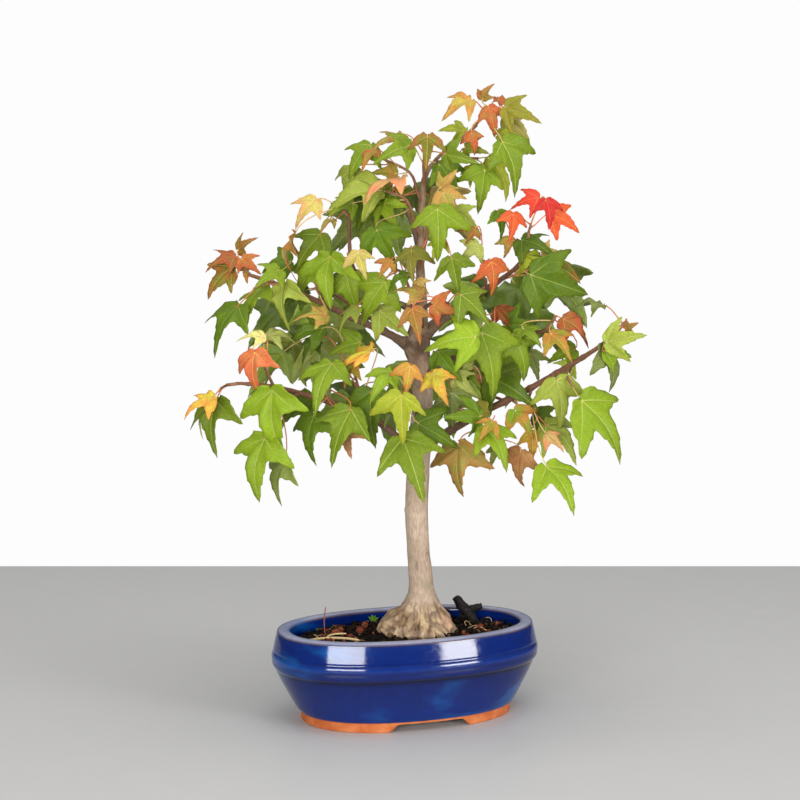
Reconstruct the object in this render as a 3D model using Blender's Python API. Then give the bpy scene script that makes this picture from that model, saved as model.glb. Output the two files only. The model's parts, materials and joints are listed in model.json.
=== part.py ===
"""A small trident maple trained as a bonsai, in a shallow oval pot. Metres, +Z up."""

import math

import bmesh
import bpy
from mathutils import Matrix, Vector
from mathutils.bvhtree import BVHTree

MM = 0.001
GAP = 0.3  # clearance between neighbouring pieces

# Driving sizes, in millimetres.
POT_LENGTH = 156.0
POT_WIDTH = 97.0
POT_HEIGHT = 54.0
RIM_WIDTH = 7.8
WALL = 6.5
FOOT_HEIGHT = 6.0
FLOOR_THICKNESS = 4.5
NOTCH_LENGTH = 44.0
NOTCH_HEIGHT = 4.6
DRAIN_HOLE = 14.0
MESH_SIDE = 22.0
MESH_THICKNESS = 0.9
SOIL_DEPTH_BELOW_RIM = 7.0
TREE_HEIGHT = 316.0  # from the soil to the uppermost leaves
CROWN_SPREAD = 266.0
TRUNK_WIDTH = 13.4
LEAF_SCALE = 1.0
LEAF_THICKNESS = 0.8
PETIOLE_WIDTH = 0.9
TWIG_WIDTH = 2.4

# The rows below are written for a tree of these sizes, and are scaled to the driving sizes.
ROW_SOIL = 47.0
ROW_HEIGHT = 316.0
ROW_SPREAD = 266.0
ROW_TRUNK = 13.4

# The tree's own front stands at this angle to the long side of the pot.
TREE_TURN = math.radians(-20.5)
OVAL_POWER = 2.25
OVAL_STEPS = 36

COLOURS = {
    "glaze": ((0.006, 0.026, 0.14), 0.12),
    "soil": ((0.022, 0.016, 0.012), 0.95),
    "mesh": ((0.02, 0.02, 0.02), 0.6),
    "bark": ((0.40, 0.31, 0.23), 0.8),
    "green": ((0.17, 0.31, 0.035), 0.5),
    "bronze": ((0.55, 0.2, 0.09), 0.5),
    "red": ((0.75, 0.1, 0.05), 0.5),
    "yellow": ((0.65, 0.5, 0.08), 0.5),
    "char": ((0.012, 0.010, 0.009), 0.8),
    "clay": ((0.35, 0.10, 0.05), 0.9),
    "straw": ((0.55, 0.42, 0.25), 0.8),
}

# Trunk centre line in the tree's frame: x to the right, y away from the front, z up, then radius.
TRUNK = (
    (7.0, 0, 34, 13.0),
    (6.2, 0, 44, 20.5),
    (6.6, 0, 50, 21.5),
    (7.6, 0, 56, 17.6),
    (8.6, 0, 62, 13.2),
    (9.2, 0, 68, 9.9),
    (9.0, 0, 76, 7.5),
    (8.1, 0, 88, 7.0),
    (7.0, 0, 101, 6.6),
    (6.2, 0, 122, 6.7),
    (7.2, 0, 148, 6.7),
    (8.5, 0, 168, 6.5),
    (9.8, 0, 186, 6.0),
    (9.0, 0, 204, 5.8),
    (6.2, 0, 219, 7.4),
    (7.4, 0, 230, 5.6),
    (8.8, 2, 248, 3.9),
    (8.0, 2, 275, 3.2),
    (9.4, 0, 303, 2.6),
    (11.2, 0, 318, 2.3),
    (20.0, -2, 330, 1.6),
    (33.0, 0, 340, 1.3),
    (41.0, 0, 347, 1.1),
)
ROOT_RINGS = 6  # rings of the trunk that are shaped as a root flare
TRUNK_STEPS = 12

# Branch: height on the trunk, radius at its foot and at its end, and the points it runs through.
BRANCHES = {
    "branch_right_low": (158, 3.1, 1.0, ((20, -2, 166), (45, -8, 181), (66, -12, 192), (95, -14, 209),
                                         (115, -14, 222), (123, -14, 229))),
    "branch_left_low": (156, 2.8, 1.0, ((-3, -4, 164), (-19, -10, 177), (-45, -18, 188), (-75, -22, 197),
                                        (-98, -20, 199))),
    "branch_left_mid": (217, 2.8, 1.0, ((-12, -2, 227), (-40, -6, 240), (-57, -6, 248), (-83, -4, 258),
                                        (-92, -4, 261))),
    "branch_upper_left": (238, 2.2, 0.9, ((-10, -8, 247), (-23, -12, 254), (-31, -10, 266), (-33, -6, 282),
                                          (-33, -4, 296))),
    "branch_right_upper": (221, 2.6, 1.0, ((25, -4, 237), (46, -8, 252), (65, -14, 267), (70, -18, 280))),
    "branch_right_mid": (200, 2.2, 0.9, ((28, -10, 214), (52, -18, 222), (82, -18, 230))),
    "branch_front_low": (176, 2.0, 0.9, ((4, -24, 190), (-1, -44, 203))),
    "branch_front_mid": (229, 2.0, 0.9, ((10, -24, 242), (17, -42, 248))),
    "branch_back_low": (170, 2.6, 0.9, ((12, 30, 190), (18, 58, 204))),
    "branch_back_left": (211, 2.2, 0.9, ((-22, 32, 234), (-46, 56, 248))),
    "branch_back_right": (226, 2.2, 0.9, ((34, 30, 244), (58, 52, 256))),
    "branch_back_up": (268, 1.6, 0.8, ((4, 24, 288), (-2, 42, 302))),
}

# Leaf tints name the colour that most of the blade has.
G, B, R, Y = "green", "bronze", "red", "yellow"

# Spray: what it grows from, how far along that is, the points of its twig, and its leaves. A leaf is
# the foot of its blade (x, y, z), the way its middle lobe points seen from the front, in degrees, the
# length of that lobe, its tint, and the roll of the blade about its midrib.
SPRAYS = {
    "spray_apex": ("trunk", 0.985, ((44, -1, 352), (48, -1, 357)), (
        (37, -5, 361, 205, 20, B, 20), (44, 5, 362, 60, 12, B, -30), (47, -8, 357, 286, 18, B, 10),
        (53, 4, 362, 335, 17, B, -20), (57, -7, 357, 338, 22, B, 25), (58, 6, 351, 325, 21, Y, 20),
        (37, -12, 342, 285, 13, B, 0), (34, 9, 343, 165, 15, Y, 20), (53, -3, 341, 8, 15, Y, -15),
        (55, -9, 337, 296, 32, Y, 10))),
    "spray_upper_right": ("trunk", 0.90, ((30, 6, 328), (42, 2, 328)), (
        (48, 4, 328, 302, 27, Y, -15), (45, -10, 321, 262, 25, G, 10), (40, 10, 324, 250, 13, Y, 30),
        (34, -6, 334, 350, 15, Y, 20))),
    "spray_upper_mid": ("trunk", 0.85, ((10, -8, 326), (12, -14, 334)), (
        (12, -20, 340, 268, 19, B, 0), (22, -18, 330, 345, 20, G, 25), (19, -10, 324, 302, 22, G, -10),
        (-2, -4, 341, 200, 22, Y, 35), (2, -12, 335, 206, 24, G, 5))),
    "spray_upper_left": ("trunk", 0.82, ((2, 6, 320), (-14, 8, 328)), (
        (-21, 8, 336, 232, 25, G, 10), (-30, 6, 322, 252, 20, G, 25), (-17, 0, 332, 225, 15, B, 35),
        (-6, -2, 319, 182, 17, B, 15))),
    "spray_left_shoulder": ("trunk", 0.76, ((0, -8, 304), (-12, -8, 309)), (
        (-15, 0, 309, 188, 35, G, 15), (-4, -17, 316, 205, 27, B, 65), (-8, -12, 311, 232, 28, G, 0),
        (-22, 8, 305, 250, 22, G, -15), (-31, 4, 302, 205, 18, G, 20), (-13, -6, 302, 300, 19, G, 20),
        (-17, -26, 287, 298, 25, G, 5))),
    "spray_left_top": ("branch_upper_left", 0.97, ((-36, -6, 298), (-40, -6, 301)), (
        (-52, -4, 304, 235, 21, Y, 15), (-42, 6, 292, 205, 12, G, 30), (-64, -10, 284, 252, 27, B, 62),
        (-50, 0, 284, 238, 26, G, 5))),
    "spray_yellow_star": ("branch_upper_left", 0.55, ((-32, -24, 268), (-33, -34, 274)), (
        (-27, -44, 275, 286, 16, Y, 0), (-43, -30, 272, 262, 29, G, 10), (-34, -36, 262, 278, 27, G, -10))),
    "spray_far_left": ("branch_left_mid", 0.98, ((-95, -4, 265), (-97, -4, 268)), (
        (-100, 2, 271, 198, 19, R, 10), (-101, -8, 265, 236, 26, Y, 20), (-98, 6, 275, 38, 14, B, 10),
        (-95, -8, 270, 325, 15, R, -15), (-92, 6, 266, 262, 11, B, 20))),
    "spray_left_mid": ("branch_left_mid", 0.80, ((-80, -12, 257), (-88, -12, 253)), (
        (-68, 4, 268, 200, 20, G, 15), (-73, -6, 264, 222, 20, G, 0), (-84, 4, 253, 238, 26, G, 25),
        (-97, -12, 243, 236, 33, G, 5), (-70, -18, 255, 268, 26, G, 10))),
    "spray_left_inner": ("branch_left_mid", 0.50, ((-50, -14, 250), (-52, -18, 256)), (
        (-46, -26, 239, 186, 20, Y, 20), (-55, -12, 265, 250, 24, G, 10), (-58, 8, 251, 215, 20, G, 20))),
    "spray_centre_left": ("trunk", 0.62, ((-2, -18, 262), (-8, -28, 264)), (
        (-12, -36, 258, 240, 30, G, 5), (-28, -28, 243, 216, 20, G, 15), (-15, -30, 241, 320, 22, G, 10),
        (3, -46, 276, 268, 18, G, 15), (1, -48, 262, 205, 15, G, 30), (-9, -34, 270, 235, 12, B, 10))),
    "spray_orange_left": ("branch_left_low", 0.80, ((-80, -32, 208), (-82, -36, 214)), (
        (-85, -46, 219, 266, 25, R, 0), (-81, -30, 226, 172, 15, Y, 30), (-79, -26, 227, 2, 18, G, -20))),
    "spray_left_tip": ("branch_left_low", 0.985, ((-103, -20, 198), (-107, -20, 196)), (
        (-111, -24, 191, 205, 20, Y, 15), (-110, -14, 188, 262, 32, G, -5), (-114, -8, 187, 252, 24, Y, 50))),
    "spray_left_big": ("branch_left_low", 0.66, ((-70, -36, 190), (-74, -40, 182)), (
        (-75, -50, 198, 272, 38, G, 0), (-80, -44, 170, 255, 36, G, 0), (-69, -32, 156, 250, 27, G, 25))),
    "spray_left_low": ("branch_left_low", 0.45, ((-48, -26, 194), (-46, -30, 198)), (
        (-55, -14, 190, 218, 28, G, 5), (-53, -26, 181, 262, 28, G, 15), (-42, -38, 212, 245, 31, G, 5),
        (-31, -48, 187, 246, 34, G, 0), (-34, -34, 173, 275, 16, B, 10))),
    "spray_left_core": ("branch_left_low", 0.25, ((-26, -16, 190), (-30, -18, 206)), (
        (-20, -26, 195, 270, 33, G, 5), (-30, -32, 211, 240, 15, B, 10), (-26, -26, 223, 206, 22, G, 10),
        (-48, -14, 208, 212, 15, G, 0), (-20, -42, 219, 216, 24, Y, 60), (-48, -10, 230, 192, 22, G, 15),
        (-52, -2, 222, 224, 16, G, 20))),
    "spray_front_low": ("branch_front_low", 0.98, ((-1, -48, 202), (-1, -54, 196)), (
        (-8, -58, 209, 226, 21, G, 10), (-3, -68, 197, 272, 27, Y, 0), (2, -64, 213, 265, 17, Y, 5),
        (-2, -60, 172, 290, 38, G, 0), (6, -46, 179, 330, 28, G, 10), (-9, -26, 186, 262, 14, G, 20))),
    "spray_front_mid": ("branch_front_mid", 0.98, ((19, -46, 249), (24, -50, 246)), (
        (8, -46, 251, 165, 17, Y, 30), (3, -58, 244, 285, 20, B, 0), (15, -52, 246, 340, 17, R, 20),
        (38, -64, 229, 194, 30, G, 10), (30, -60, 252, 318, 24, G, 5))),
    "spray_front_up": ("trunk", 0.70, ((14, -14, 296), (18, -32, 298)), (
        (20, -46, 308, 298, 19, B, 10), (17, -54, 299, 272, 29, G, 0), (28, -30, 298, 322, 17, G, 15),
        (19, -34, 311, 45, 14, B, 25), (25, -52, 272, 282, 21, G, 10), (20, -40, 281, 230, 13, Y, 20),
        (6, -40, 259, 308, 11, Y, 20))),
    "spray_red": ("branch_right_upper", 0.985, ((70, -20, 286), (71, -22, 290)), (
        (60, -32, 296, 266, 17, R, 0), (75, -22, 305, 195, 17, R, 15), (78, -34, 304, 280, 17, R, 0),
        (82, -20, 296, 334, 21, R, 10))),
    "spray_right_up": ("branch_right_upper", 0.80, ((70, -6, 268), (74, -4, 272)), (
        (66, -10, 281, 345, 27, G, 15), (81, -14, 268, 334, 23, G, 5), (69, -22, 273, 312, 18, Y, 10),
        (52, -14, 297, 290, 18, G, 10), (70, -30, 262, 331, 41, G, 5), (60, -6, 282, 270, 13, Y, 20),
        (80, 2, 274, 0, 11, B, 20))),
    "spray_orange_star": ("branch_right_upper", 0.50, ((44, -26, 262), (44, -36, 270)), (
        (47, -54, 270, 276, 20, R, 0), (40, -42, 279, 222, 15, Y, 10), (38, -32, 288, 250, 11, B, 20))),
    "spray_right_mid": ("branch_right_mid", 0.55, ((50, -28, 230), (50, -34, 236)), (
        (42, -44, 230, 285, 39, G, 0), (52, -26, 242, 300, 15, B, 10), (60, -34, 228, 300, 30, G, 20),
        (57, -10, 232, 3, 20, G, 25))),
    "spray_right_bronze": ("branch_right_mid", 0.97, ((84, -18, 234), (86, -18, 238)), (
        (90, -20, 236, 325, 22, R, 0), (82, -28, 228, 320, 20, B, 10), (66, -22, 231, 333, 16, G, 15),
        (98, -6, 217, 200, 18, G, 10))),
    "spray_right_tip": ("branch_right_low", 0.985, ((124, -14, 231), (125, -14, 233)), (
        (114, -6, 243, 175, 21, G, 55), (114, -16, 223, 26, 25, G, 20), (127, -12, 230, 30, 9, B, 10),
        (112, -28, 221, 300, 29, G, 5), (113, -20, 218, 352, 20, G, 10))),
    "spray_right_big": ("branch_right_low", 0.72, ((92, -24, 204), (95, -30, 198)), (
        (99, -40, 191, 309, 45, G, 0), (86, -28, 201, 286, 28, G, 30), (96, -8, 208, 222, 14, G, 10))),
    "spray_right_inner": ("branch_right_low", 0.38, ((46, -2, 192), (44, 0, 200)), (
        (50, -6, 201, 330, 34, G, 10), (34, 4, 203, 340, 14, G, 20), (72, -6, 215, 290, 17, G, 20),
        (38, -12, 209, 166, 14, G, 20))),
    "spray_right_core": ("branch_right_low", 0.16, ((26, -14, 184), (26, -18, 196)), (
        (18, -26, 218, 305, 22, G, 15), (28, -32, 205, 320, 18, G, 45), (15, -36, 206, 300, 20, Y, 20),
        (26, -32, 195, 274, 22, G, 20), (46, -28, 184, 164, 18, G, 10), (42, -12, 182, 186, 27, G, 10))),
    "spray_right_low": ("branch_right_low", 0.52, ((70, -20, 186), (76, -24, 180)), (
        (62, -28, 184, 308, 20, B, 10), (75, -12, 180, 335, 20, G, 10), (72, -22, 171, 274, 17, Y, 15),
        (80, -24, 175, 330, 28, G, 10), (79, -46, 154, 309, 31, G, 0), (80, -36, 171, 320, 14, B, 10))),
    "spray_withered": ("branch_right_low", 0.24, ((40, -16, 172), (50, -20, 168)), (
        (45, -40, 176, 306, 28, G, 0), (48, -24, 180, 232, 16, B, 10), (66, -30, 161, 262, 23, B, 50),
        (30, -32, 165, 270, 32, Y, 40), (56, -14, 160, 222, 14, G, 45))),
}

# Back spray: what it grows from, how far along, the end of its twig, and how many leaves hang round it.
BACK_SPRAYS = {
    "spray_back_low": ("branch_back_low", 0.97, (24, 66, 204), 6),
    "spray_back_low_left": ("branch_back_low", 0.45, (-14, 46, 194), 5),
    "spray_back_left": ("branch_back_left", 0.97, (-56, 62, 250), 6),
    "spray_back_left_low": ("branch_back_left", 0.55, (-54, 42, 224), 5),
    "spray_back_right": ("branch_back_right", 0.97, (66, 58, 258), 6),
    "spray_back_right_low": ("branch_back_right", 0.50, (58, 38, 226), 5),
    "spray_back_up": ("branch_back_up", 0.97, (-6, 50, 306), 6),
}
TURN_STEP = 137.5  # degrees from one leaf of a back spray to the next

# Outline of half a blade, as the angle from the middle lobe and the distance from its foot.
BLADE = ((0, 1.0), (23, 0.52), (50, 0.70), (82, 0.38), (150, 0.045))
BLADE_CENTRE = 0.3
FRONT_LIMIT = 30.0  # leaves nearer than this face forwards, the others backwards
SIDE_FACING = 1.8  # how much the leaves at the sides of the crown turn to face sideways
ELBOW_BELOW = 0.35  # a stalk that leaves its blade more sharply than this has an elbow
ELBOW_LENGTH = 2.5

# What a leaf tries in turn until nothing is in its way: millimetres deeper into the crown, degrees of
# lean, degrees of twist, and the share of its size that it keeps.
NUDGE_COUNT = 90
NUDGE_DEPTH = 2.0
NUDGE_LEAN = 6.0
NUDGE_TWIST = 7.0
NUDGE_SHRINK = 0.006
NUDGES = [(0.0, 0.0, 0.0, 1.0)]
for step in range(1, NUDGE_COUNT):
    deeper = (step + 1) // 2 * NUDGE_DEPTH * (1 if step % 2 else -1)
    NUDGES.append((deeper, (step % 5 - 2) * NUDGE_LEAN, (step % 7 - 3) * NUDGE_TWIST, 1.0 - NUDGE_SHRINK * step))

# The pot's outer skin from the lip down: how far it stands out from the rim line, and its height as a
# share of the height between the foot and the lip. Below the belt the ends slope in more than the sides.
POT_SKIN = (
    (-RIM_WIDTH * 0.42, 1.0),
    (-0.9, 0.993),
    (0.0, 0.965),
    (1.9, 0.76),
    (2.9, 0.70),
    (3.2, 0.66),
    (3.0, 0.60),
    (2.2, 0.555),
    (0.9, 0.53),
    (-3.0, 0.34),
    (-8.6, 0.13),
    (-12.8, 0.0),
)
SIDE_SLOPE = 0.45
FOOT_INSET = 1.4
FOOT_RING = 9.0
CAVITY_SHARES = (0.86, 0.66, 0.43, 0.2)  # heights of the inner wall's rings, from the lip down
CAVITY_CORNER = 3.0  # how far the inner wall comes in where it meets the floor
LIP_DROP = 1.6  # the lip's inner edge lies this much below its top
DRAIN_PLACE = 0.19  # of the pot's length, from its middle

SOIL_MOUND = 3.2
SOIL_EDGE_DROP = 1.5
SOIL_UNEVEN = 0.5
SOIL_SHRINKS = (1.0, 0.8, 0.55, 0.3)  # rings of the soil's surface, as shares of its edge
LEAF_DROOP = 12.0  # degrees that a leaf leans outwards, and how much that varies
LEAF_DROOP_SPREAD = 16.0

# Loose pieces on the soil, in the pot's frame: x, y and size.
GRANULES = {"granule_1": (-42, 4, 4.4), "granule_2": (-27, 20, 3.8), "granule_3": (50, -8, 4.0)}


def material(name):
    colour, roughness = COLOURS[name]
    found = bpy.data.materials.get(name)
    if found:
        return found
    made = bpy.data.materials.new(name)
    made.use_nodes = True
    shader = made.node_tree.nodes["Principled BSDF"]
    shader.inputs["Base Color"].default_value = (*colour, 1)
    shader.inputs["Roughness"].default_value = roughness
    shader.inputs["Metallic"].default_value = 0
    made.diffuse_color = (*colour, 1)
    return made


def place(x, y, z):
    """A point of the rows, scaled to the driving sizes and turned to stand in the pot."""
    across = CROWN_SPREAD / ROW_SPREAD
    up = TREE_HEIGHT / ROW_HEIGHT
    soil = POT_HEIGHT - SOIL_DEPTH_BELOW_RIM
    c, s = math.cos(TREE_TURN), math.sin(TREE_TURN)
    x, y = x * across, y * across
    return Vector((c * x - s * y, s * x + c * y, soil + (z - ROW_SOIL) * up))


def turned(direction):
    return Matrix.Rotation(TREE_TURN, 3, "Z") @ Vector(direction)


def add_object(name, mesh, colour, collection):
    made = bpy.data.objects.new(name, mesh)
    mesh.materials.clear()
    mesh.materials.append(material(colour))
    collection.objects.link(made)
    return made


def finish_mesh(name, bm):
    bmesh.ops.recalc_face_normals(bm, faces=bm.faces)
    bm.transform(Matrix.Scale(MM, 4))
    mesh = bpy.data.meshes.new(name)
    bm.to_mesh(mesh)
    bm.free()
    return mesh


def loft(name, rings):
    """A closed skin over rings of points, the first and last capped."""
    bm = bmesh.new()
    steps = len(rings[0])
    ring = bmesh.ops.create_circle(bm, cap_ends=True, segments=steps, radius=1)["verts"]
    for vertex, point in zip(ring, rings[0]):
        vertex.co = point
    edges = [bm.edges.get((ring[i - 1], ring[i])) for i in range(steps)]
    for points in rings[1:]:
        made = bmesh.ops.extrude_edge_only(bm, edges=edges)["geom"]
        grown = {}
        for edge in (e for e in made if isinstance(e, bmesh.types.BMEdge)):
            for vertex in edge.verts:
                grown[vertex] = None
        old = ring
        ring = []
        for vertex in old:
            linked = (e.other_vert(vertex) for e in vertex.link_edges)
            ring.append(next(other for other in linked if other in grown))
        for vertex, point in zip(ring, points):
            vertex.co = point
        edges = [bm.edges.get((ring[i - 1], ring[i])) for i in range(steps)]
    bmesh.ops.contextual_create(bm, geom=ring)
    bmesh.ops.triangulate(bm, faces=bm.faces, quad_method="FIXED")
    return finish_mesh(name, bm)


def oval(half_length, half_width, z, steps=OVAL_STEPS):
    """A ring of points on a rounded oval, long along X."""
    points = []
    for i in range(steps):
        angle = 2 * math.pi * i / steps
        c, s = math.cos(angle), math.sin(angle)
        x = half_length * math.copysign(abs(c) ** (2 / OVAL_POWER), c)
        y = half_width * math.copysign(abs(s) ** (2 / OVAL_POWER), s)
        points.append(Vector((x, y, z)))
    return points


def tube(name, points, radii, resolution=1):
    """A round rod along points, made a closed mesh."""
    curve = bpy.data.curves.new(name, "CURVE")
    curve.dimensions = "3D"
    curve.bevel_depth = MM
    curve.bevel_resolution = resolution
    curve.use_fill_caps = True
    spline = curve.splines.new("POLY")
    spline.points.add(len(points) - 1)
    for knot, point, radius in zip(spline.points, points, radii):
        knot.co = (*(Vector(point) * MM), 1)
        knot.radius = radius
    holder = bpy.data.objects.new(name, curve)
    bpy.context.scene.collection.objects.link(holder)
    graph = bpy.context.evaluated_depsgraph_get()
    mesh = bpy.data.meshes.new_from_object(holder.evaluated_get(graph))
    bpy.data.objects.remove(holder)
    bm = bmesh.new()
    bm.from_mesh(mesh)
    bmesh.ops.remove_doubles(bm, verts=bm.verts, dist=1e-6)
    bmesh.ops.recalc_face_normals(bm, faces=bm.faces)
    bm.to_mesh(mesh)
    bm.free()
    return mesh


def difference(piece, cutter):
    cut = piece.modifiers.new("cut_" + cutter.name, "BOOLEAN")
    cut.operation = "DIFFERENCE"
    cut.object = cutter


def is_one_body(mesh):
    bm = bmesh.new()
    bm.from_mesh(mesh)
    reached = set(bm.verts[:1])
    to_visit = list(reached)
    while to_visit:
        vertex = to_visit.pop()
        for edge in vertex.link_edges:
            other = edge.other_vert(vertex)
            if other not in reached:
                reached.add(other)
                to_visit.append(other)
    whole = 0 < len(reached) == len(bm.verts) and all(part.is_manifold for part in (*bm.edges, *bm.verts))
    bm.free()
    return whole


def united(mesh, extra):
    """The two closed meshes made one body, or None where no solver manages that."""
    for solver in ("MANIFOLD", "EXACT"):
        first = bpy.data.objects.new("first", mesh)
        second = bpy.data.objects.new("second", extra)
        for piece in (first, second):
            bpy.context.scene.collection.objects.link(piece)
        join = first.modifiers.new("join", "BOOLEAN")
        join.operation = "UNION"
        join.solver = solver
        join.object = second
        graph = bpy.context.evaluated_depsgraph_get()
        result = bpy.data.meshes.new_from_object(first.evaluated_get(graph))
        bpy.data.objects.remove(first)
        bpy.data.objects.remove(second)
        if is_one_body(result):
            return result
        bpy.data.meshes.remove(result)
    return None


def helper(name, mesh, collection):
    made = bpy.data.objects.new(name, mesh)
    made.hide_render = True
    made.display_type = "WIRE"
    collection.objects.link(made)
    return made


def block(name, low, high, collection):
    bm = bmesh.new()
    bmesh.ops.create_cube(bm, size=1)
    low, high = Vector(low), Vector(high)
    bm.transform(Matrix.Diagonal((*(high - low), 1)))
    bm.transform(Matrix.Translation((low + high) / 2))
    return helper(name, finish_mesh(name, bm), collection)


def pot_ring(out, z):
    across = out * SIDE_SLOPE if out < 0 and z < POT_HEIGHT * 0.5 else out
    return oval(POT_LENGTH / 2 + out, POT_WIDTH / 2 + across, z)


def cavity_ring(inset, z):
    """A ring inside the pot, this far in from its wall's inner face."""
    span = POT_HEIGHT - FOOT_HEIGHT
    share = (z - FOOT_HEIGHT) / span
    for (out, high), (next_out, low) in zip(POT_SKIN, POT_SKIN[1:]):
        if low <= share <= high:
            t = (high - share) / (high - low)
            out = out + (next_out - out) * t
            break
    else:
        out = POT_SKIN[-1][0]
    wall = RIM_WIDTH if share > 0.9 else WALL
    out = min(out, 2.0) if share < 0.9 else 0.0
    across = out * SIDE_SLOPE if out < 0 and z < POT_HEIGHT * 0.5 else out
    return oval(POT_LENGTH / 2 + out - wall - inset, POT_WIDTH / 2 + across - wall - inset, z)


def make_pot(collection, cutters):
    span = POT_HEIGHT - FOOT_HEIGHT
    floor = FOOT_HEIGHT + FLOOR_THICKNESS
    last = POT_SKIN[-1][0] - FOOT_INSET
    rings = [pot_ring(last - FOOT_RING, FOOT_HEIGHT), pot_ring(last - FOOT_RING, 0), pot_ring(last, 0)]
    rings += [pot_ring(out, FOOT_HEIGHT + share * span) for out, share in reversed(POT_SKIN)]
    rings.append(oval(POT_LENGTH / 2 - RIM_WIDTH, POT_WIDTH / 2 - RIM_WIDTH, POT_HEIGHT - LIP_DROP))
    for share in CAVITY_SHARES:
        rings.append(cavity_ring(0, FOOT_HEIGHT + share * span))
    rings.append(cavity_ring(CAVITY_CORNER, floor))
    pot = add_object("pot", loft("pot", rings), "glaze", collection)
    half = NOTCH_LENGTH / 2
    reach = POT_WIDTH
    notch = block("foot_notch", (-half, -reach, -1), (half, reach, NOTCH_HEIGHT), cutters)
    difference(pot, notch)
    for side, x in drain_places():
        bm = bmesh.new()
        bmesh.ops.create_cone(bm, cap_ends=True, segments=16, radius1=DRAIN_HOLE / 2,
                              radius2=DRAIN_HOLE / 2, depth=4 * FLOOR_THICKNESS)
        bm.transform(Matrix.Translation((x, 0, FOOT_HEIGHT + FLOOR_THICKNESS / 2)))
        hole = helper("drain_" + side, finish_mesh("drain_" + side, bm), cutters)
        difference(pot, hole)
    return pot


def drain_places():
    return (("left", -POT_LENGTH * DRAIN_PLACE), ("right", POT_LENGTH * DRAIN_PLACE))


def make_drain_meshes(collection):
    floor = FOOT_HEIGHT + FLOOR_THICKNESS
    for side, x in drain_places():
        bm = bmesh.new()
        bmesh.ops.create_cube(bm, size=1)
        bm.transform(Matrix.Diagonal((MESH_SIDE, MESH_SIDE, MESH_THICKNESS, 1)))
        bm.transform(Matrix.Translation((x, 0, floor + GAP + MESH_THICKNESS / 2)))
        name = "drain_mesh_" + side
        add_object(name, finish_mesh(name, bm), "mesh", collection)


def soil_height(x, y):
    """The soil's surface: a low mound round the trunk, with shallow unevenness."""
    foot = place(*TRUNK[0][:3])
    away = math.hypot(x - foot.x, y - foot.y) / (POT_WIDTH / 2)
    mound = SOIL_MOUND * math.exp(-2.2 * away * away)
    return POT_HEIGHT - SOIL_DEPTH_BELOW_RIM + mound + SOIL_UNEVEN * math.sin(x / 7) * math.cos(y / 6)


def make_soil(collection, cutters, root_cutter):
    span = POT_HEIGHT - FOOT_HEIGHT
    floor = FOOT_HEIGHT + FLOOR_THICKNESS
    top = POT_HEIGHT - SOIL_DEPTH_BELOW_RIM
    rings = [cavity_ring(CAVITY_CORNER + 2 * GAP, floor + GAP)]
    for share in reversed(CAVITY_SHARES[1:]):
        rings.append(cavity_ring(3 * GAP, FOOT_HEIGHT + share * span))
    edge = cavity_ring(4 * GAP, top - SOIL_EDGE_DROP)
    for shrink in SOIL_SHRINKS:
        ring = []
        for point in edge:
            x, y = point.x * shrink, point.y * shrink
            ring.append(Vector((x, y, soil_height(x, y) - (SOIL_EDGE_DROP if shrink == 1.0 else 0))))
        rings.append(ring)
    soil = add_object("soil", loft("soil", rings), "soil", collection)
    difference(soil, root_cutter)
    for side, x in drain_places():
        half = MESH_SIDE / 2 + GAP
        pocket = block("mesh_pocket_" + side, (x - half, -half, floor - 1),
                       (x + half, half, floor + 2 * GAP + MESH_THICKNESS), cutters)
        difference(soil, pocket)


def trunk_ring(row, extra=0.0):
    """A ring of the trunk, with buttresses where the roots leave it."""
    x, y, z, radius = row
    centre = place(x, y, z)
    width = radius * TRUNK_WIDTH / ROW_TRUNK + extra
    index = TRUNK.index(row)
    flare = max(0.0, 1 - index / ROOT_RINGS)
    points = []
    for i in range(TRUNK_STEPS):
        angle = 2 * math.pi * i / TRUNK_STEPS
        swell = 1 + flare * (0.10 * math.cos(3 * angle + 0.6) + 0.07 * math.cos(5 * angle + 2))
        points.append(centre + Vector((math.cos(angle), math.sin(angle), 0)) * width * swell)
    return points


def make_trunk(collection, cutters):
    trunk = add_object("trunk", loft("trunk", [trunk_ring(row) for row in TRUNK]), "bark", collection)
    below = [trunk_ring(row, GAP) for row in TRUNK[:ROOT_RINGS]]
    below[0] = [point - Vector((0, 0, GAP)) for point in below[0]]
    cutter = helper("root_space", loft("root_space", below), cutters)
    return trunk, cutter


def along(path, share):
    """The point, direction and radius at this share of a path's length."""
    lengths = [(b[0] - a[0]).length for a, b in zip(path, path[1:])]
    left = share * sum(lengths)
    for (a, b), length in zip(zip(path, path[1:]), lengths):
        if left <= length or b is path[-1]:
            t = min(1.0, left / length)
            return a[0].lerp(b[0], t), (b[0] - a[0]).normalized(), a[1] + (b[1] - a[1]) * t
        left -= length


def trunk_path():
    return [(place(x, y, z), r * TRUNK_WIDTH / ROW_TRUNK) for x, y, z, r in TRUNK]


def step_off(path, share, target, width):
    """Where a side shoot of this radius starts: just clear of the wood that it grows from."""
    point, direction, radius = along(path, share)
    out = target - point
    side = (out - direction * out.dot(direction)).normalized()
    lean = out.normalized().dot(side)
    reach = (radius + GAP * 1.3 + width * math.sqrt(max(0.0, 1 - lean * lean))) / max(lean, 0.35)
    return point + out.normalized() * reach


def share_at_height(path, z):
    """The share of the trunk's length at which it passes this height."""
    lengths = [(b[0] - a[0]).length for a, b in zip(path, path[1:])]
    done = 0.0
    for (a, b), length in zip(zip(path, path[1:]), lengths):
        if a[0].z <= z <= b[0].z:
            return (done + length * (z - a[0].z) / (b[0].z - a[0].z)) / sum(lengths)
        done += length
    return 1.0


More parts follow.
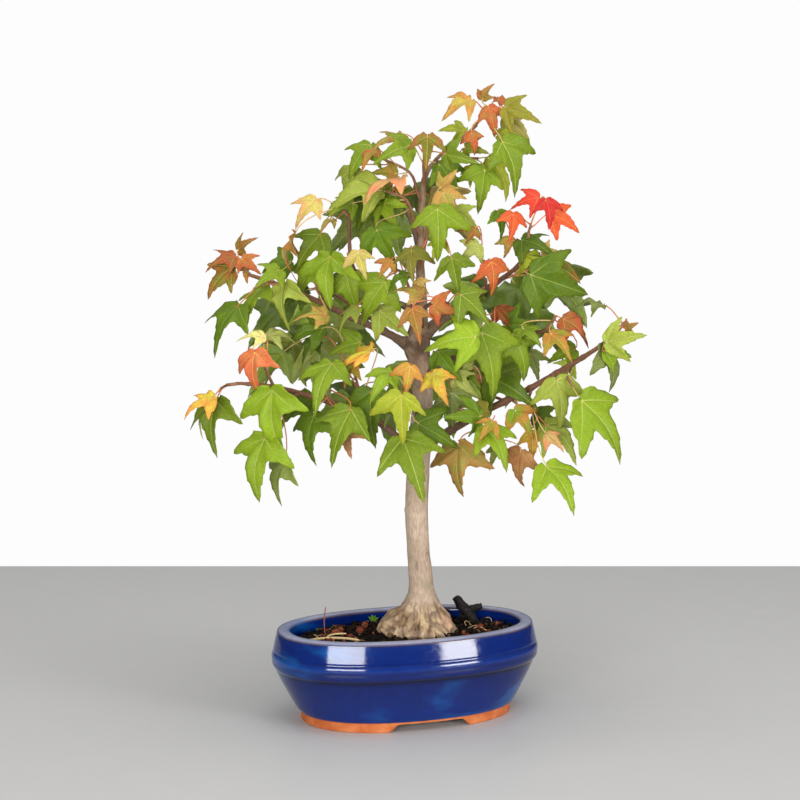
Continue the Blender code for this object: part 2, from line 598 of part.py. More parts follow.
def branch_paths():
    trunk = trunk_path()
    paths = {"trunk": trunk}
    for name, (height, wide, narrow, points) in BRANCHES.items():
        share = share_at_height(trunk, place(0, 0, height).z)
        knots = [place(*point) for point in points]
        start = step_off(trunk, share, knots[0], wide)
        knots = [start] + knots
        count = len(knots) - 1
        paths[name] = [(knot, wide + (narrow - wide) * i / count) for i, knot in enumerate(knots)]
    return paths


class Clearances:
    """The solids placed so far, and whether a new one would touch them."""

    def __init__(self):
        self.held = []

    def add(self, mesh, owner):
        tree, low, high = self.tree_of(mesh)
        self.held.append((tree, low, high, owner))

    @staticmethod
    def tree_of(mesh):
        points = [v.co / MM for v in mesh.vertices]
        low = Vector([min(p[i] for p in points) for i in range(3)])
        high = Vector([max(p[i] for p in points) for i in range(3)])
        return BVHTree.FromPolygons(points, [tuple(p.vertices) for p in mesh.polygons]), low, high

    def touches(self, mesh, besides=None):
        """Whether the mesh meets anything held, leaving out what belongs to the piece named besides."""
        tree, low, high = self.tree_of(mesh)
        for other, other_low, other_high, owner in self.held:
            apart = any(low[i] > other_high[i] or high[i] < other_low[i] for i in range(3))
            if not apart and owner != besides and tree.overlap(other):
                return True
        return False


def blade_height(x, y, length):
    """How far the blade stands above its own plane: the midrib arches over and the sides fold down."""
    return length * (0.10 * math.sin(math.pi * min(max(x, 0), 1)) - 0.22 * x * x - 0.30 * y * y)


def leaf_frame(foot, aim, lean, roll, front, sideways):
    """The blade's place: X along the midrib, Z out of the upper face, which looks away from the tree."""
    aim, lean, roll = math.radians(aim), math.radians(lean), math.radians(roll)
    facing = -1 if front else 1
    midrib = Vector((math.cos(aim) * math.cos(lean), facing * math.sin(lean), math.sin(aim) * math.cos(lean)))
    out = Vector((sideways, facing, 0.45))
    normal = (out - midrib * out.dot(midrib)).normalized()
    normal = Matrix.Rotation(roll, 3, midrib) @ normal
    midrib, normal = turned(midrib), turned(normal)
    side = normal.cross(midrib)
    frame = Matrix((midrib, side, normal)).transposed().to_4x4()
    return Matrix.Translation(foot) @ frame


def leaf_mesh(frame, length, root, extra=0.0, stalk=True):
    """A three-lobed blade of even thickness, drawn out from its foot into a stalk that ends at root."""
    outline = [(math.radians(a), r) for a, r in BLADE]
    outline += [(-a, r) for a, r in reversed(outline[1:])]
    bm = bmesh.new()
    made = bmesh.ops.create_circle(bm, cap_ends=True, cap_tris=True, segments=len(outline), radius=1)
    rim = [v for v in made["verts"] if len(v.link_faces) == 2]
    centre = next(v for v in made["verts"] if len(v.link_faces) > 2)
    spots = [(r * math.cos(a), r * math.sin(a)) for a, r in outline]
    for vertex, (x, y) in zip(rim, spots):
        vertex.co = (x * length, y * length, blade_height(x, y, length))
    centre.co = (BLADE_CENTRE * length, 0, blade_height(BLADE_CENTRE, 0, length))
    thick = LEAF_THICKNESS + 2 * extra
    heel = [rim[len(BLADE) - 1], rim[len(BLADE)]]
    for vertex, side in zip(heel, (1, -1)):
        vertex.co = (vertex.co.x, side * (PETIOLE_WIDTH / 2 + extra), vertex.co.z)
    for vertex in bm.verts:
        vertex.co.z -= thick / 2
    top = bmesh.ops.extrude_face_region(bm, geom=bm.faces[:] + bm.edges[:] + bm.verts[:])["geom"]
    lifted = [item for item in top if isinstance(item, bmesh.types.BMVert)]
    bmesh.ops.translate(bm, verts=lifted, vec=(0, 0, thick))
    bm.transform(frame)
    if stalk:
        low = set(heel)
        face = next(f for f in bm.faces if len(f.verts) == 4 and low <= set(f.verts))
        back = -frame.to_3x3().col[0]
        heel_point = face.calc_center_median()
        towards = (root - heel_point).normalized()
        if towards.dot(back) < ELBOW_BELOW:
            bend = (towards + 1.6 * back).normalized()
            face = draw_out(bm, face, heel_point + ELBOW_LENGTH * bend, back, bend)
            back = bend
        draw_out(bm, face, root, back, (root - face.calc_center_median()).normalized())
    return finish_mesh("leaf", bm)


def draw_out(bm, face, end, old_way, new_way):
    """Extrudes a face to end and turns it square to its new direction. It returns the moved face."""
    grown = bmesh.ops.extrude_discrete_faces(bm, faces=[face])["faces"][0]
    middle = grown.calc_center_median()
    turn = old_way.rotation_difference(new_way)
    for vertex in grown.verts:
        vertex.co = end + turn @ (vertex.co - middle)
    return grown


def crosses_itself(mesh):
    """Whether faces that share no corner meet, as where a stalk runs back through its own blade."""
    corners = [set(face.vertices) for face in mesh.polygons]
    tree = BVHTree.FromPolygons([v.co / MM for v in mesh.vertices], [tuple(f.vertices) for f in mesh.polygons])
    return any(not corners[a] & corners[b] for a, b in tree.overlap(tree))


def set_leaf(row, owner, path, shares, held, spray):
    """Joins a leaf to its spray as its row says, moved or turned a little where something is in its way.
    It returns the leaf and the spray with that leaf on it."""
    x, y, z, aim, length, _, roll = row
    front = y < FRONT_LIMIT
    for deeper, lean, twist, shrink in NUDGES:
        size = length * LEAF_SCALE * shrink
        foot = place(x, y + deeper, z)
        droop = LEAF_DROOP + LEAF_DROOP_SPREAD * math.sin(0.37 * x + 0.23 * z) + lean
        frame = leaf_frame(foot, aim + twist / 2, droop, roll + twist, front, SIDE_FACING * x / ROW_SPREAD)
        blade = leaf_mesh(frame, size, None, GAP / 2, stalk=False)
        blocked = held.touches(blade)
        bpy.data.meshes.remove(blade)
        if blocked:
            continue
        for share in sorted(shares, key=lambda s: (along(path, s)[0] - foot).length):
            root = along(path, share)[0]
            whole = leaf_mesh(frame, size, root, GAP / 2)
            blocked = crosses_itself(whole) or held.touches(whole, owner)
            bpy.data.meshes.remove(whole)
            if blocked:
                continue
            leaf = leaf_mesh(frame, size, root)
            grown = united(spray, leaf)
            if grown:
                shares.remove(share)
                return leaf, grown
    raise RuntimeError(f"no room for a leaf of {owner} at {x}, {y}, {z}")


def back_rows(end, count):
    """Leaves hanging round the end of a twig at the back."""
    rows = []
    x, y, z = end
    for i in range(count):
        angle = math.radians(TURN_STEP * i)
        reach = 17 + 4 * (i % 3)
        aim = 270 + 55 * math.cos(angle)
        rows.append((x + reach * math.cos(angle), y + reach * 0.6 * math.sin(angle) + 4,
                     z + 9 * math.sin(angle + 1) - 4, aim, 30 + 4 * (i % 3), G, 12 * math.sin(angle)))
    return rows


def make_wood(collection, held):
    paths = branch_paths()
    for name in BRANCHES:
        path = paths[name]
        mesh = tube(name, [p for p, _ in path], [r for _, r in path], 1)
        add_object(name, mesh, "bark", collection)
        held.add(mesh, name)
    return paths


def make_sprays(collection, paths, held):
    twigs = {}
    rows = {}
    for name, (host, share, points, leaves) in SPRAYS.items():
        twigs[name] = (host, share, [place(*p) for p in points])
        rows[name] = leaves
    for name, (host, share, end, count) in BACK_SPRAYS.items():
        twigs[name] = (host, share, [place(*end)])
        rows[name] = back_rows(end, count)
    twig_meshes = {}
    for name, (host, share, knots) in twigs.items():
        start = step_off(paths[host], share, knots[0], TWIG_WIDTH / 2)
        knots = [start] + knots
        count = len(knots) - 1
        path = [(k, TWIG_WIDTH / 2 * (1 - 0.25 * i / count)) for i, k in enumerate(knots)]
        paths[name] = path
        mesh = tube(name, [p for p, _ in path], [r for _, r in path], 1)
        if held.touches(mesh):
            raise RuntimeError(f"the twig of {name} touches something")
        held.add(mesh, name)
        twig_meshes[name] = mesh
    for name, leaves in rows.items():
        shares = [0.25 + 0.73 * i / len(leaves) for i in range(len(leaves) + 1)]
        spray = twig_meshes[name]
        for row in leaves:
            leaf, spray = set_leaf(row, name, paths[name], shares, held, spray)
            held.add(leaf, name)
        add_object(name, spray, leaves[0][5], collection)


def on_soil(x, y):
    return soil_height(x, y) + 2 * GAP


def make_granules(collection):
    for number, (name, (x, y, size)) in enumerate(GRANULES.items()):
        bm = bmesh.new()
        bmesh.ops.create_icosphere(bm, subdivisions=1, radius=size / 2)
        bm.transform(Matrix.Diagonal((1, 0.8, 0.7, 1)))
        bm.transform(Matrix.Rotation(number * 1.1, 4, "Z"))
        bm.transform(Matrix.Translation((x, y, on_soil(x, y) + size * 0.4)))
        add_object(name, finish_mesh(name, bm), "clay", collection)


def make_charred_bark(collection, cutters):
    """A charred stick that leans up to the left, with a stub towards the right."""
    base = on_soil(51, 17) + 3.2
    knots = [(40.9, 21.0, base + 12), (44.2, 19.8, base + 8), (47.5, 18.5, base + 4), (51.2, 17.1, base)]
    lump = add_object("charred_bark", tube("charred_bark", knots, [1.5, 2.6, 2.8, 2.2], 1), "char", collection)
    knots = [(46.5, 18.9, base + 4.5), (50.5, 17.4, base + 6), (54.5, 15.9, base + 8)]
    join = lump.modifiers.new("stub", "BOOLEAN")
    join.operation = "UNION"
    join.object = helper("bark_stub", tube("bark_stub", knots, [2.0, 1.7, 1.2], 1), cutters)


def make_straw(collection):
    knots = []
    for x, y in ((-60, 3), (-52, 0), (-44, -5), (-36, -9)):
        knots.append((x, y, on_soil(x, y) + 1.2))
    add_object("straw", tube("straw", knots, [0.5, 0.8, 0.8, 0.5], 0), "straw", collection)


def make_sprout(collection):
    """A dry hair-thin stem that stands in the soil."""
    x, y = -46, 14
    foot = on_soil(x, y) + 0.2
    knots = [(x, y, foot), (x - 0.6, y, foot + 8), (x + 0.4, y, foot + 16)]
    add_object("dry_stem", tube("dry_stem", knots, [0.6, 0.5, 0.4], 0), "straw", collection)


def centre_over_origin(collection):
    """Stands the whole part with the middle of its box over the origin."""
    bpy.context.view_layer.update()
    corners = [o.matrix_world @ Vector(c) for o in collection.objects for c in o.bound_box]
    middle = [(min(c[i] for c in corners) + max(c[i] for c in corners)) / 2 for i in range(2)]
    stand = bpy.data.objects.new("stand", None)
    stand.location = (-middle[0], -middle[1], 0)
    collection.objects.link(stand)
    for group in bpy.data.collections:
        for piece in group.objects:
            if piece is not stand:
                piece.parent = stand
    bpy.context.view_layer.update()


def main():
    for old in list(bpy.data.objects):
        bpy.data.objects.remove(old)
    bonsai = bpy.data.collections.new("maple_bonsai")
    cutters = bpy.data.collections.new("cutters")
    for group in (bonsai, cutters):
        bpy.context.scene.collection.children.link(group)
    held = Clearances()
    make_pot(bonsai, cutters)
    make_drain_meshes(bonsai)
    trunk, root_cutter = make_trunk(bonsai, cutters)
    held.add(trunk.data, "trunk")
    make_soil(bonsai, cutters, root_cutter)
    paths = make_wood(bonsai, held)
    make_sprays(bonsai, paths, held)
    make_granules(bonsai)
    make_charred_bark(bonsai, cutters)
    make_straw(bonsai)
    make_sprout(bonsai)
    centre_over_origin(bonsai)


main()
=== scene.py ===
"""The looks of a small trident maple in an oval blue pot, built round its CAD frame. Metres, +Z up."""

import json
import math
import random

import bmesh
import bpy
from mathutils import Matrix, Vector, noise
from mathutils.bvhtree import BVHTree

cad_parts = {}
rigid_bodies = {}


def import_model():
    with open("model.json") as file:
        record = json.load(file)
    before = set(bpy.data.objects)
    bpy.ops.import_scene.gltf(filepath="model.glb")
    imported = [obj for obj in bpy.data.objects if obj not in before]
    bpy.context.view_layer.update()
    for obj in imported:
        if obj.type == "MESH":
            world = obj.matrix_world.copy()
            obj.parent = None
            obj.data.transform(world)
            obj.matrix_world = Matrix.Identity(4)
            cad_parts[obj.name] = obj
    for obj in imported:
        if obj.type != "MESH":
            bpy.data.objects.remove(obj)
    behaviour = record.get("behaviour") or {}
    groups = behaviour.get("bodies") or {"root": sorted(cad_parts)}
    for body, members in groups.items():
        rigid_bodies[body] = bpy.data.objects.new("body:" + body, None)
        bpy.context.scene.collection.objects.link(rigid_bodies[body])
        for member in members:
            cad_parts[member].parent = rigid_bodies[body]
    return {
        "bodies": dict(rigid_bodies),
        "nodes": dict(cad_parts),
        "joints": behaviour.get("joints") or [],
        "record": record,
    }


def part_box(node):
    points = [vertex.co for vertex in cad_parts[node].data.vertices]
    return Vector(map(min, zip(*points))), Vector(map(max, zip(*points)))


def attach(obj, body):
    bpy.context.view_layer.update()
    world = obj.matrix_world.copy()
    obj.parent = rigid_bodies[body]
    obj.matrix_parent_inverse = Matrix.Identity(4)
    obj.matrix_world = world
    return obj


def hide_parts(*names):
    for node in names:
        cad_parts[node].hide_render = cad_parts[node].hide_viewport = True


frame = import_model()

bl_info = {
    "name": "Maple Bonsai",
    "version": (1, 0, 0),
    "blender": (4, 5, 0),
    "location": "3D View > Sidebar > Bonsai",
    "description": "Builds a trident maple bonsai in its glazed pot, piece by piece",
    "category": "Add Mesh",
}

MM = 0.001
POT_LOW, POT_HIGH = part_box("pot")
POT_MIDDLE = Vector(((POT_LOW.x + POT_HIGH.x) / 2, (POT_LOW.y + POT_HIGH.y) / 2, 0))

# Working sizes are in millimetres from the middle of the pot's foot, and are the CAD model's own.
GAP = 0.3
POT_LENGTH = 156.0
POT_WIDTH = 97.0
POT_HEIGHT = 54.0
FOOT_HEIGHT = 6.0
FLOOR_TOP = 10.5
NOTCH_LENGTH = 44.0
NOTCH_HEIGHT = 4.6
DRAIN_HOLE = 14.0
MESH_SIDE = 22.0
SOIL_TOP = 47.0
TREE_TURN = math.radians(-20.5)  # the tree's own front, against the long side of the pot
OVAL_POWER = 2.25
TWIG_WIDTH = 2.4
PETIOLE_WIDTH = 0.9
LEAF_THICKNESS = 0.8  # of the CAD model's plain blades
CROWN_SPREAD = 266.0
DRAIN_PLACE = 0.19  # of the pot's length, from its middle
SOIL_MOUND = 3.2
SOIL_UNEVEN = 0.5

# Trunk centre line in the tree's frame: x to the right, y away from the front, z up, then radius.
TRUNK = (
    (7.0, 0, 34, 13.0), (6.2, 0, 44, 20.5), (6.6, 0, 50, 21.5), (7.6, 0, 56, 17.6), (8.6, 0, 62, 13.2),
    (9.2, 0, 68, 9.9), (9.0, 0, 76, 7.5), (8.1, 0, 88, 7.0), (7.0, 0, 101, 6.6), (6.2, 0, 122, 6.7),
    (7.2, 0, 148, 6.7), (8.5, 0, 168, 6.5), (9.8, 0, 186, 6.0), (9.0, 0, 204, 5.8), (6.2, 0, 219, 7.4),
    (7.4, 0, 230, 5.6), (8.8, 2, 248, 3.9), (8.0, 2, 275, 3.2), (9.4, 0, 303, 2.6), (11.2, 0, 318, 2.3),
    (20.0, -2, 330, 1.6), (33.0, 0, 340, 1.3), (41.0, 0, 347, 1.1),
)

# Branch: height on the trunk, radius at its foot and at its end, and the points it runs through.
BRANCHES = {
    "branch_right_low": (158, 3.1, 1.0, ((20, -2, 166), (45, -8, 181), (66, -12, 192), (95, -14, 209),
                                         (115, -14, 222), (123, -14, 229))),
    "branch_left_low": (156, 2.8, 1.0, ((-3, -4, 164), (-19, -10, 177), (-45, -18, 188), (-75, -22, 197),
                                        (-98, -20, 199))),
    "branch_left_mid": (217, 2.8, 1.0, ((-12, -2, 227), (-40, -6, 240), (-57, -6, 248), (-83, -4, 258),
                                        (-92, -4, 261))),
    "branch_upper_left": (238, 2.2, 0.9, ((-10, -8, 247), (-23, -12, 254), (-31, -10, 266), (-33, -6, 282),
                                          (-33, -4, 296))),
    "branch_right_upper": (221, 2.6, 1.0, ((25, -4, 237), (46, -8, 252), (65, -14, 267), (70, -18, 280))),
    "branch_right_mid": (200, 2.2, 0.9, ((28, -10, 214), (52, -18, 222), (82, -18, 230))),
    "branch_front_low": (176, 2.0, 0.9, ((4, -24, 190), (-1, -44, 203))),
    "branch_front_mid": (229, 2.0, 0.9, ((10, -24, 242), (17, -42, 248))),
    "branch_back_low": (170, 2.6, 0.9, ((12, 30, 190), (18, 58, 204))),
    "branch_back_left": (211, 2.2, 0.9, ((-22, 32, 234), (-46, 56, 248))),
    "branch_back_right": (226, 2.2, 0.9, ((34, 30, 244), (58, 52, 256))),
    "branch_back_up": (268, 1.6, 0.8, ((4, 24, 288), (-2, 42, 302))),
}

# Spray: what it grows from, how far along that is, the points of its twig, and its leaves. A leaf is the
# foot of its blade (x, y, z), the way its middle lobe points seen from the front, in degrees, the length
# of that lobe, its tint, and the roll of the blade about its midrib.
SPRAYS = {
    "spray_apex": ("trunk", 0.985, ((44, -1, 352), (48, -1, 357)), (
        (37, -5, 361, 205, 20, "bronze_yellow", 20), (44, 5, 362, 60, 12, "bronze", -30),
        (47, -8, 357, 286, 18, "bronze_red", 10), (53, 4, 362, 335, 17, "bronze_red", -20),
        (57, -7, 357, 338, 22, "olive", 25), (58, 6, 351, 325, 21, "pale_olive", 20),
        (37, -12, 342, 285, 13, "bronze_red", 0), (34, 9, 343, 165, 15, "yellow_green", 20),
        (53, -3, 341, 8, 15, "yellow_green", -15), (55, -9, 337, 296, 32, "bright", 10))),
    "spray_upper_right": ("trunk", 0.9, ((30, 6, 328), (42, 2, 328)), (
        (48, 4, 328, 302, 27, "yellow_green", -15), (45, -10, 321, 262, 25, "green", 10),
        (40, 10, 324, 250, 13, "yellow_green", 30), (34, -6, 334, 350, 15, "yellow_green", 20))),
    "spray_upper_mid": ("trunk", 0.85, ((10, -8, 326), (12, -14, 334)), (
        (12, -20, 340, 268, 19, "olive_bronze", 0), (22, -18, 330, 345, 20, "green", 25),
        (19, -10, 324, 302, 22, "dark", -10), (-2, -4, 341, 200, 22, "tan_olive", 35),
        (2, -12, 335, 206, 24, "green", 5))),
    "spray_upper_left": ("trunk", 0.82, ((2, 6, 320), (-14, 8, 328)), (
        (-21, 8, 336, 232, 25, "green", 10), (-30, 6, 322, 252, 20, "light", 25),
        (-17, 0, 332, 225, 15, "bronze", 35), (-6, -2, 319, 182, 17, "olive_bronze", 15))),
    "spray_left_shoulder": ("trunk", 0.76, ((0, -8, 304), (-12, -8, 309)), (
        (-15, 0, 309, 188, 35, "light", 15), (-4, -17, 316, 205, 27, "pink_tan", 65),
        (-8, -12, 311, 232, 28, "dark", 0), (-22, 8, 305, 250, 22, "dark", -15),
        (-31, 4, 302, 205, 18, "green", 20), (-13, -6, 302, 300, 19, "green", 20),
        (-17, -26, 287, 298, 25, "dark", 5))),
    "spray_left_top": ("branch_upper_left", 0.97, ((-36, -6, 298), (-40, -6, 301)), (
        (-52, -4, 304, 235, 21, "tan", 15), (-42, 6, 292, 205, 12, "pale_olive", 30),
        (-64, -10, 284, 252, 27, "bronze", 62), (-50, 0, 284, 238, 26, "green", 5))),
    "spray_yellow_star": ("branch_upper_left", 0.55, ((-32, -24, 268), (-33, -34, 274)), (
        (-27, -44, 275, 286, 16, "yellow", 0), (-43, -30, 272, 262, 29, "green", 10),
        (-34, -36, 262, 278, 27, "green", -10))),
    "spray_far_left": ("branch_left_mid", 0.98, ((-95, -4, 265), (-97, -4, 268)), (
        (-100, 2, 271, 198, 19, "bronze_red", 10), (-101, -8, 265, 236, 26, "olive_bronze", 20),
        (-98, 6, 275, 38, 14, "bronze", 10), (-95, -8, 270, 325, 15, "bronze_red", -15),
        (-92, 6, 266, 262, 11, "orange_olive", 20))),
    "spray_left_mid": ("branch_left_mid", 0.8, ((-80, -12, 257), (-88, -12, 253)), (
        (-68, 4, 268, 200, 20, "dark", 15), (-73, -6, 264, 222, 20, "green", 0),
        (-84, 4, 253, 238, 26, "green", 25), (-97, -12, 243, 236, 33, "dark", 5),
        (-70, -18, 255, 268, 26, "light", 10))),
    "spray_left_inner": ("branch_left_mid", 0.5, ((-50, -14, 250), (-52, -18, 256)), (
        (-46, -26, 239, 186, 20, "tan_olive", 20), (-55, -12, 265, 250, 24, "green", 10),
        (-58, 8, 251, 215, 20, "dark", 20))),
    "spray_centre_left": ("trunk", 0.62, ((-2, -18, 262), (-8, -28, 264)), (
        (-12, -36, 258, 240, 30, "green", 5), (-28, -28, 243, 216, 20, "light", 15),
        (-15, -30, 241, 320, 22, "light", 10), (3, -46, 276, 268, 18, "olive", 15),
        (1, -48, 262, 205, 15, "dark", 30), (-9, -34, 270, 235, 12, "bronze", 10))),
    "spray_orange_left": ("branch_left_low", 0.8, ((-80, -32, 208), (-82, -36, 214)), (
        (-85, -46, 219, 266, 25, "salmon", 0), (-81, -30, 226, 172, 15, "pale_yellow", 30),
        (-79, -26, 227, 2, 18, "pale_green", -20))),
    "spray_left_tip": ("branch_left_low", 0.985, ((-103, -20, 198), (-107, -20, 196)), (
        (-111, -24, 191, 205, 20, "yellow_orange", 15), (-110, -14, 188, 262, 32, "green", -5),
        (-114, -8, 187, 252, 24, "pale_green", 50))),
    "spray_left_big": ("branch_left_low", 0.66, ((-70, -36, 190), (-74, -40, 182)), (
        (-75, -50, 198, 272, 38, "bright", 0), (-80, -44, 170, 255, 36, "bright", 0),
        (-69, -32, 156, 250, 27, "grey_green", 25))),
    "spray_left_low": ("branch_left_low", 0.45, ((-48, -26, 194), (-46, -30, 198)), (
        (-55, -14, 190, 218, 28, "dark", 5), (-53, -26, 181, 262, 28, "dark", 15),
        (-42, -38, 212, 245, 31, "bright", 5), (-31, -48, 187, 246, 34, "bright", 0),
        (-34, -34, 173, 275, 16, "pink_tan", 10))),
    "spray_left_core": ("branch_left_low", 0.25, ((-26, -16, 190), (-30, -18, 206)), (
        (-20, -26, 195, 270, 33, "dark", 5), (-30, -32, 211, 240, 15, "olive_bronze", 10),
        (-26, -26, 223, 206, 22, "green", 10), (-48, -14, 208, 212, 15, "dark", 0),
        (-20, -42, 219, 216, 24, "yellow_orange", 60), (-48, -10, 230, 192, 22, "dark", 15),
        (-52, -2, 222, 224, 16, "dark", 20))),
    "spray_front_low": ("branch_front_low", 0.98, ((-1, -48, 202), (-1, -54, 196)), (
        (-8, -58, 209, 226, 21, "bright", 10), (-3, -68, 197, 272, 27, "yellow_green", 0),
        (2, -64, 213, 265, 17, "yellow_orange", 5), (-2, -60, 172, 290, 38, "green", 0),
        (6, -46, 179, 330, 28, "dark", 10), (-9, -26, 186, 262, 14, "grey_green", 20))),
    "spray_front_mid": ("branch_front_mid", 0.98, ((19, -46, 249), (24, -50, 246)), (
        (8, -46, 251, 165, 17, "tan_olive", 30), (3, -58, 244, 285, 20, "bronze", 0),
        (15, -52, 246, 340, 17, "bronze_red", 20), (38, -64, 229, 194, 30, "bright", 10),
        (30, -60, 252, 318, 24, "green", 5))),
    "spray_front_up": ("trunk", 0.7, ((14, -14, 296), (18, -32, 298)), (
        (20, -46, 308, 298, 19, "tan_olive", 10), (17, -54, 299, 272, 29, "green", 0),
        (28, -30, 298, 322, 17, "light", 15), (19, -34, 311, 45, 14, "tan_olive", 25),
        (25, -52, 272, 282, 21, "green", 10), (20, -40, 281, 230, 13, "yellow_green", 20),
        (6, -40, 259, 308, 11, "tan", 20))),
    "spray_red": ("branch_right_upper", 0.985, ((70, -20, 286), (71, -22, 290)), (
        (60, -32, 296, 266, 17, "orange_red", 0), (75, -22, 305, 195, 17, "red", 15),
        (78, -34, 304, 280, 17, "deep_red", 0), (82, -20, 296, 334, 21, "orange_red", 10))),
    "spray_right_up": ("branch_right_upper", 0.8, ((70, -6, 268), (74, -4, 272)), (
        (66, -10, 281, 345, 27, "dark", 15), (81, -14, 268, 334, 23, "green_bronze", 5),
        (69, -22, 273, 312, 18, "yellow_green", 10), (52, -14, 297, 290, 18, "dark", 10),
        (70, -30, 262, 331, 41, "dark", 5), (60, -6, 282, 270, 13, "bronze_yellow", 20),
        (80, 2, 274, 0, 11, "tan", 20))),
    "spray_orange_star": ("branch_right_upper", 0.5, ((44, -26, 262), (44, -36, 270)), (
        (47, -54, 270, 276, 20, "orange", 0), (40, -42, 279, 222, 15, "pale_green", 10),
        (38, -32, 288, 250, 11, "bronze", 20))),
    "spray_right_mid": ("branch_right_mid", 0.55, ((50, -28, 230), (50, -34, 236)), (
        (42, -44, 230, 285, 39, "green", 0), (52, -26, 242, 300, 15, "bronze_red", 10),
        (60, -34, 228, 300, 30, "green", 20), (57, -10, 232, 3, 20, "dark", 25))),
    "spray_right_bronze": ("branch_right_mid", 0.97, ((84, -18, 234), (86, -18, 238)), (
        (90, -20, 236, 325, 22, "bronze_red", 0), (82, -28, 228, 320, 20, "olive_bronze", 10),
        (66, -22, 231, 333, 16, "green", 15), (98, -6, 217, 200, 18, "green", 10))),
    "spray_right_tip": ("branch_right_low", 0.985, ((124, -14, 231), (125, -14, 233)), (
        (114, -6, 243, 175, 21, "grey_green", 55), (114, -16, 223, 26, 25, "light", 20),
        (127, -12, 230, 30, 9, "bronze", 10), (112, -28, 221, 300, 29, "grey_green", 5),
        (113, -20, 218, 352, 20, "green", 10))),
    "spray_right_big": ("branch_right_low", 0.72, ((92, -24, 204), (95, -30, 198)), (
        (99, -40, 191, 309, 45, "bright", 0), (86, -28, 201, 286, 28, "light", 30),
        (96, -8, 208, 222, 14, "light", 10))),
    "spray_right_inner": ("branch_right_low", 0.38, ((46, -2, 192), (44, 0, 200)), (
        (50, -6, 201, 330, 34, "dark", 10), (34, 4, 203, 340, 14, "dark", 20),
        (72, -6, 215, 290, 17, "grey_green", 20), (38, -12, 209, 166, 14, "pale_green", 20))),
    "spray_right_core": ("branch_right_low", 0.16, ((26, -14, 184), (26, -18, 196)), (
        (18, -26, 218, 305, 22, "dark", 15), (28, -32, 205, 320, 18, "pale_green", 45),
        (15, -36, 206, 300, 20, "yellow_orange", 20), (26, -32, 195, 274, 22, "grey_green", 20),
        (46, -28, 184, 164, 18, "olive", 10), (42, -12, 182, 186, 27, "dark", 10))),
    "spray_right_low": ("branch_right_low", 0.52, ((70, -20, 186), (76, -24, 180)), (
        (62, -28, 184, 308, 20, "green_bronze", 10), (75, -12, 180, 335, 20, "dark", 10),
        (72, -22, 171, 274, 17, "yellow_orange", 15), (80, -24, 175, 330, 28, "light", 10),
        (79, -46, 154, 309, 31, "bright", 0), (80, -36, 171, 320, 14, "pink_tan", 10))),
    "spray_withered": ("branch_right_low", 0.24, ((40, -16, 172), (50, -20, 168)), (
        (45, -40, 176, 306, 28, "green", 0), (48, -24, 180, 232, 16, "olive_bronze", 10),
        (66, -30, 161, 262, 23, "withered", 50), (30, -32, 165, 270, 32, "tan_olive", 40),
        (56, -14, 160, 222, 14, "pale_green", 45))),}

# Back spray: what it grows from, how far along, the end of its twig, and how many leaves hang round it.
BACK_SPRAYS = {
    "spray_back_low": ("branch_back_low", 0.97, (24, 66, 204), 6),
    "spray_back_low_left": ("branch_back_low", 0.45, (-14, 46, 194), 5),
    "spray_back_left": ("branch_back_left", 0.97, (-56, 62, 250), 6),
    "spray_back_left_low": ("branch_back_left", 0.55, (-54, 42, 224), 5),
    "spray_back_right": ("branch_back_right", 0.97, (66, 58, 258), 6),
    "spray_back_right_low": ("branch_back_right", 0.50, (58, 38, 226), 5),
    "spray_back_up": ("branch_back_up", 0.97, (-6, 50, 306), 6),
}
BACK_TINTS = ("green", "bright", "dark", "green", "light", "green_bronze", "dark", "yellow_green", "bright",
              "green", "bronze", "dark", "light")

# Each tint is the colour of the blade, of its margin and of its veins, as red, green and blue out of 255.
TINTS = {
    "green": ((112, 139, 18), (124, 143, 20), (166, 179, 86)),
    "bright": ((124, 152, 24), (132, 156, 26), (176, 188, 90)),
    "light": ((146, 162, 58), (152, 160, 52), (188, 192, 114)),
    "dark": ((82, 111, 10), (96, 118, 12), (136, 154, 66)),
    "grey_green": ((126, 139, 66), (118, 132, 52), (166, 173, 112)),
    "pale_green": ((170, 179, 86), (172, 177, 78), (200, 199, 132)),
    "yellow_green": ((146, 160, 32), (162, 165, 38), (194, 194, 96)),
    "olive": ((122, 126, 30), (134, 120, 36), (170, 165, 86)),
    "pale_olive": ((160, 158, 70), (172, 149, 70), (192, 182, 114)),
    "tan_olive": ((152, 150, 58), (190, 128, 68), (202, 186, 106)),
    "olive_bronze": ((128, 132, 36), (190, 104, 52), (198, 178, 86)),
    "green_bronze": ((104, 134, 24), (182, 104, 52), (172, 174, 82)),
    "orange_olive": ((150, 138, 40), (198, 96, 44), (206, 170, 72)),
    "yellow": ((208, 208, 84), (226, 184, 116), (222, 224, 128)),
    "pale_yellow": ((214, 210, 118), (222, 196, 128), (228, 226, 148)),
    "yellow_orange": ((206, 190, 58), (218, 128, 58), (222, 208, 112)),
    "tan": ((198, 182, 92), (216, 152, 98), (216, 200, 126)),
    "pink_tan": ((192, 160, 94), (212, 122, 86), (222, 188, 132)),
    "bronze": ((148, 124, 46), (184, 96, 52), (206, 166, 88)),
    "bronze_yellow": ((176, 160, 66), (186, 108, 58), (208, 186, 100)),
    "bronze_red": ((156, 106, 48), (182, 74, 44), (210, 152, 80)),
    "orange": ((206, 112, 52), (216, 80, 44), (228, 178, 86)),
    "salmon": ((218, 126, 78), (224, 98, 58), (232, 190, 96)),
    "orange_red": ((222, 98, 48), (228, 84, 44), (232, 150, 78)),
    "red": ((216, 66, 42), (222, 54, 38), (236, 130, 80)),
    "deep_red": ((188, 44, 40), (200, 40, 36), (222, 104, 72)),
    "withered": ((168, 124, 72), (152, 92, 52), (196, 160, 98)),
}
STALK_TINTS = {"red": (214, 112, 74), "pale": (214, 176, 112), "brown": (158, 100, 64)}
UNDERSIDE = (176, 190, 140)
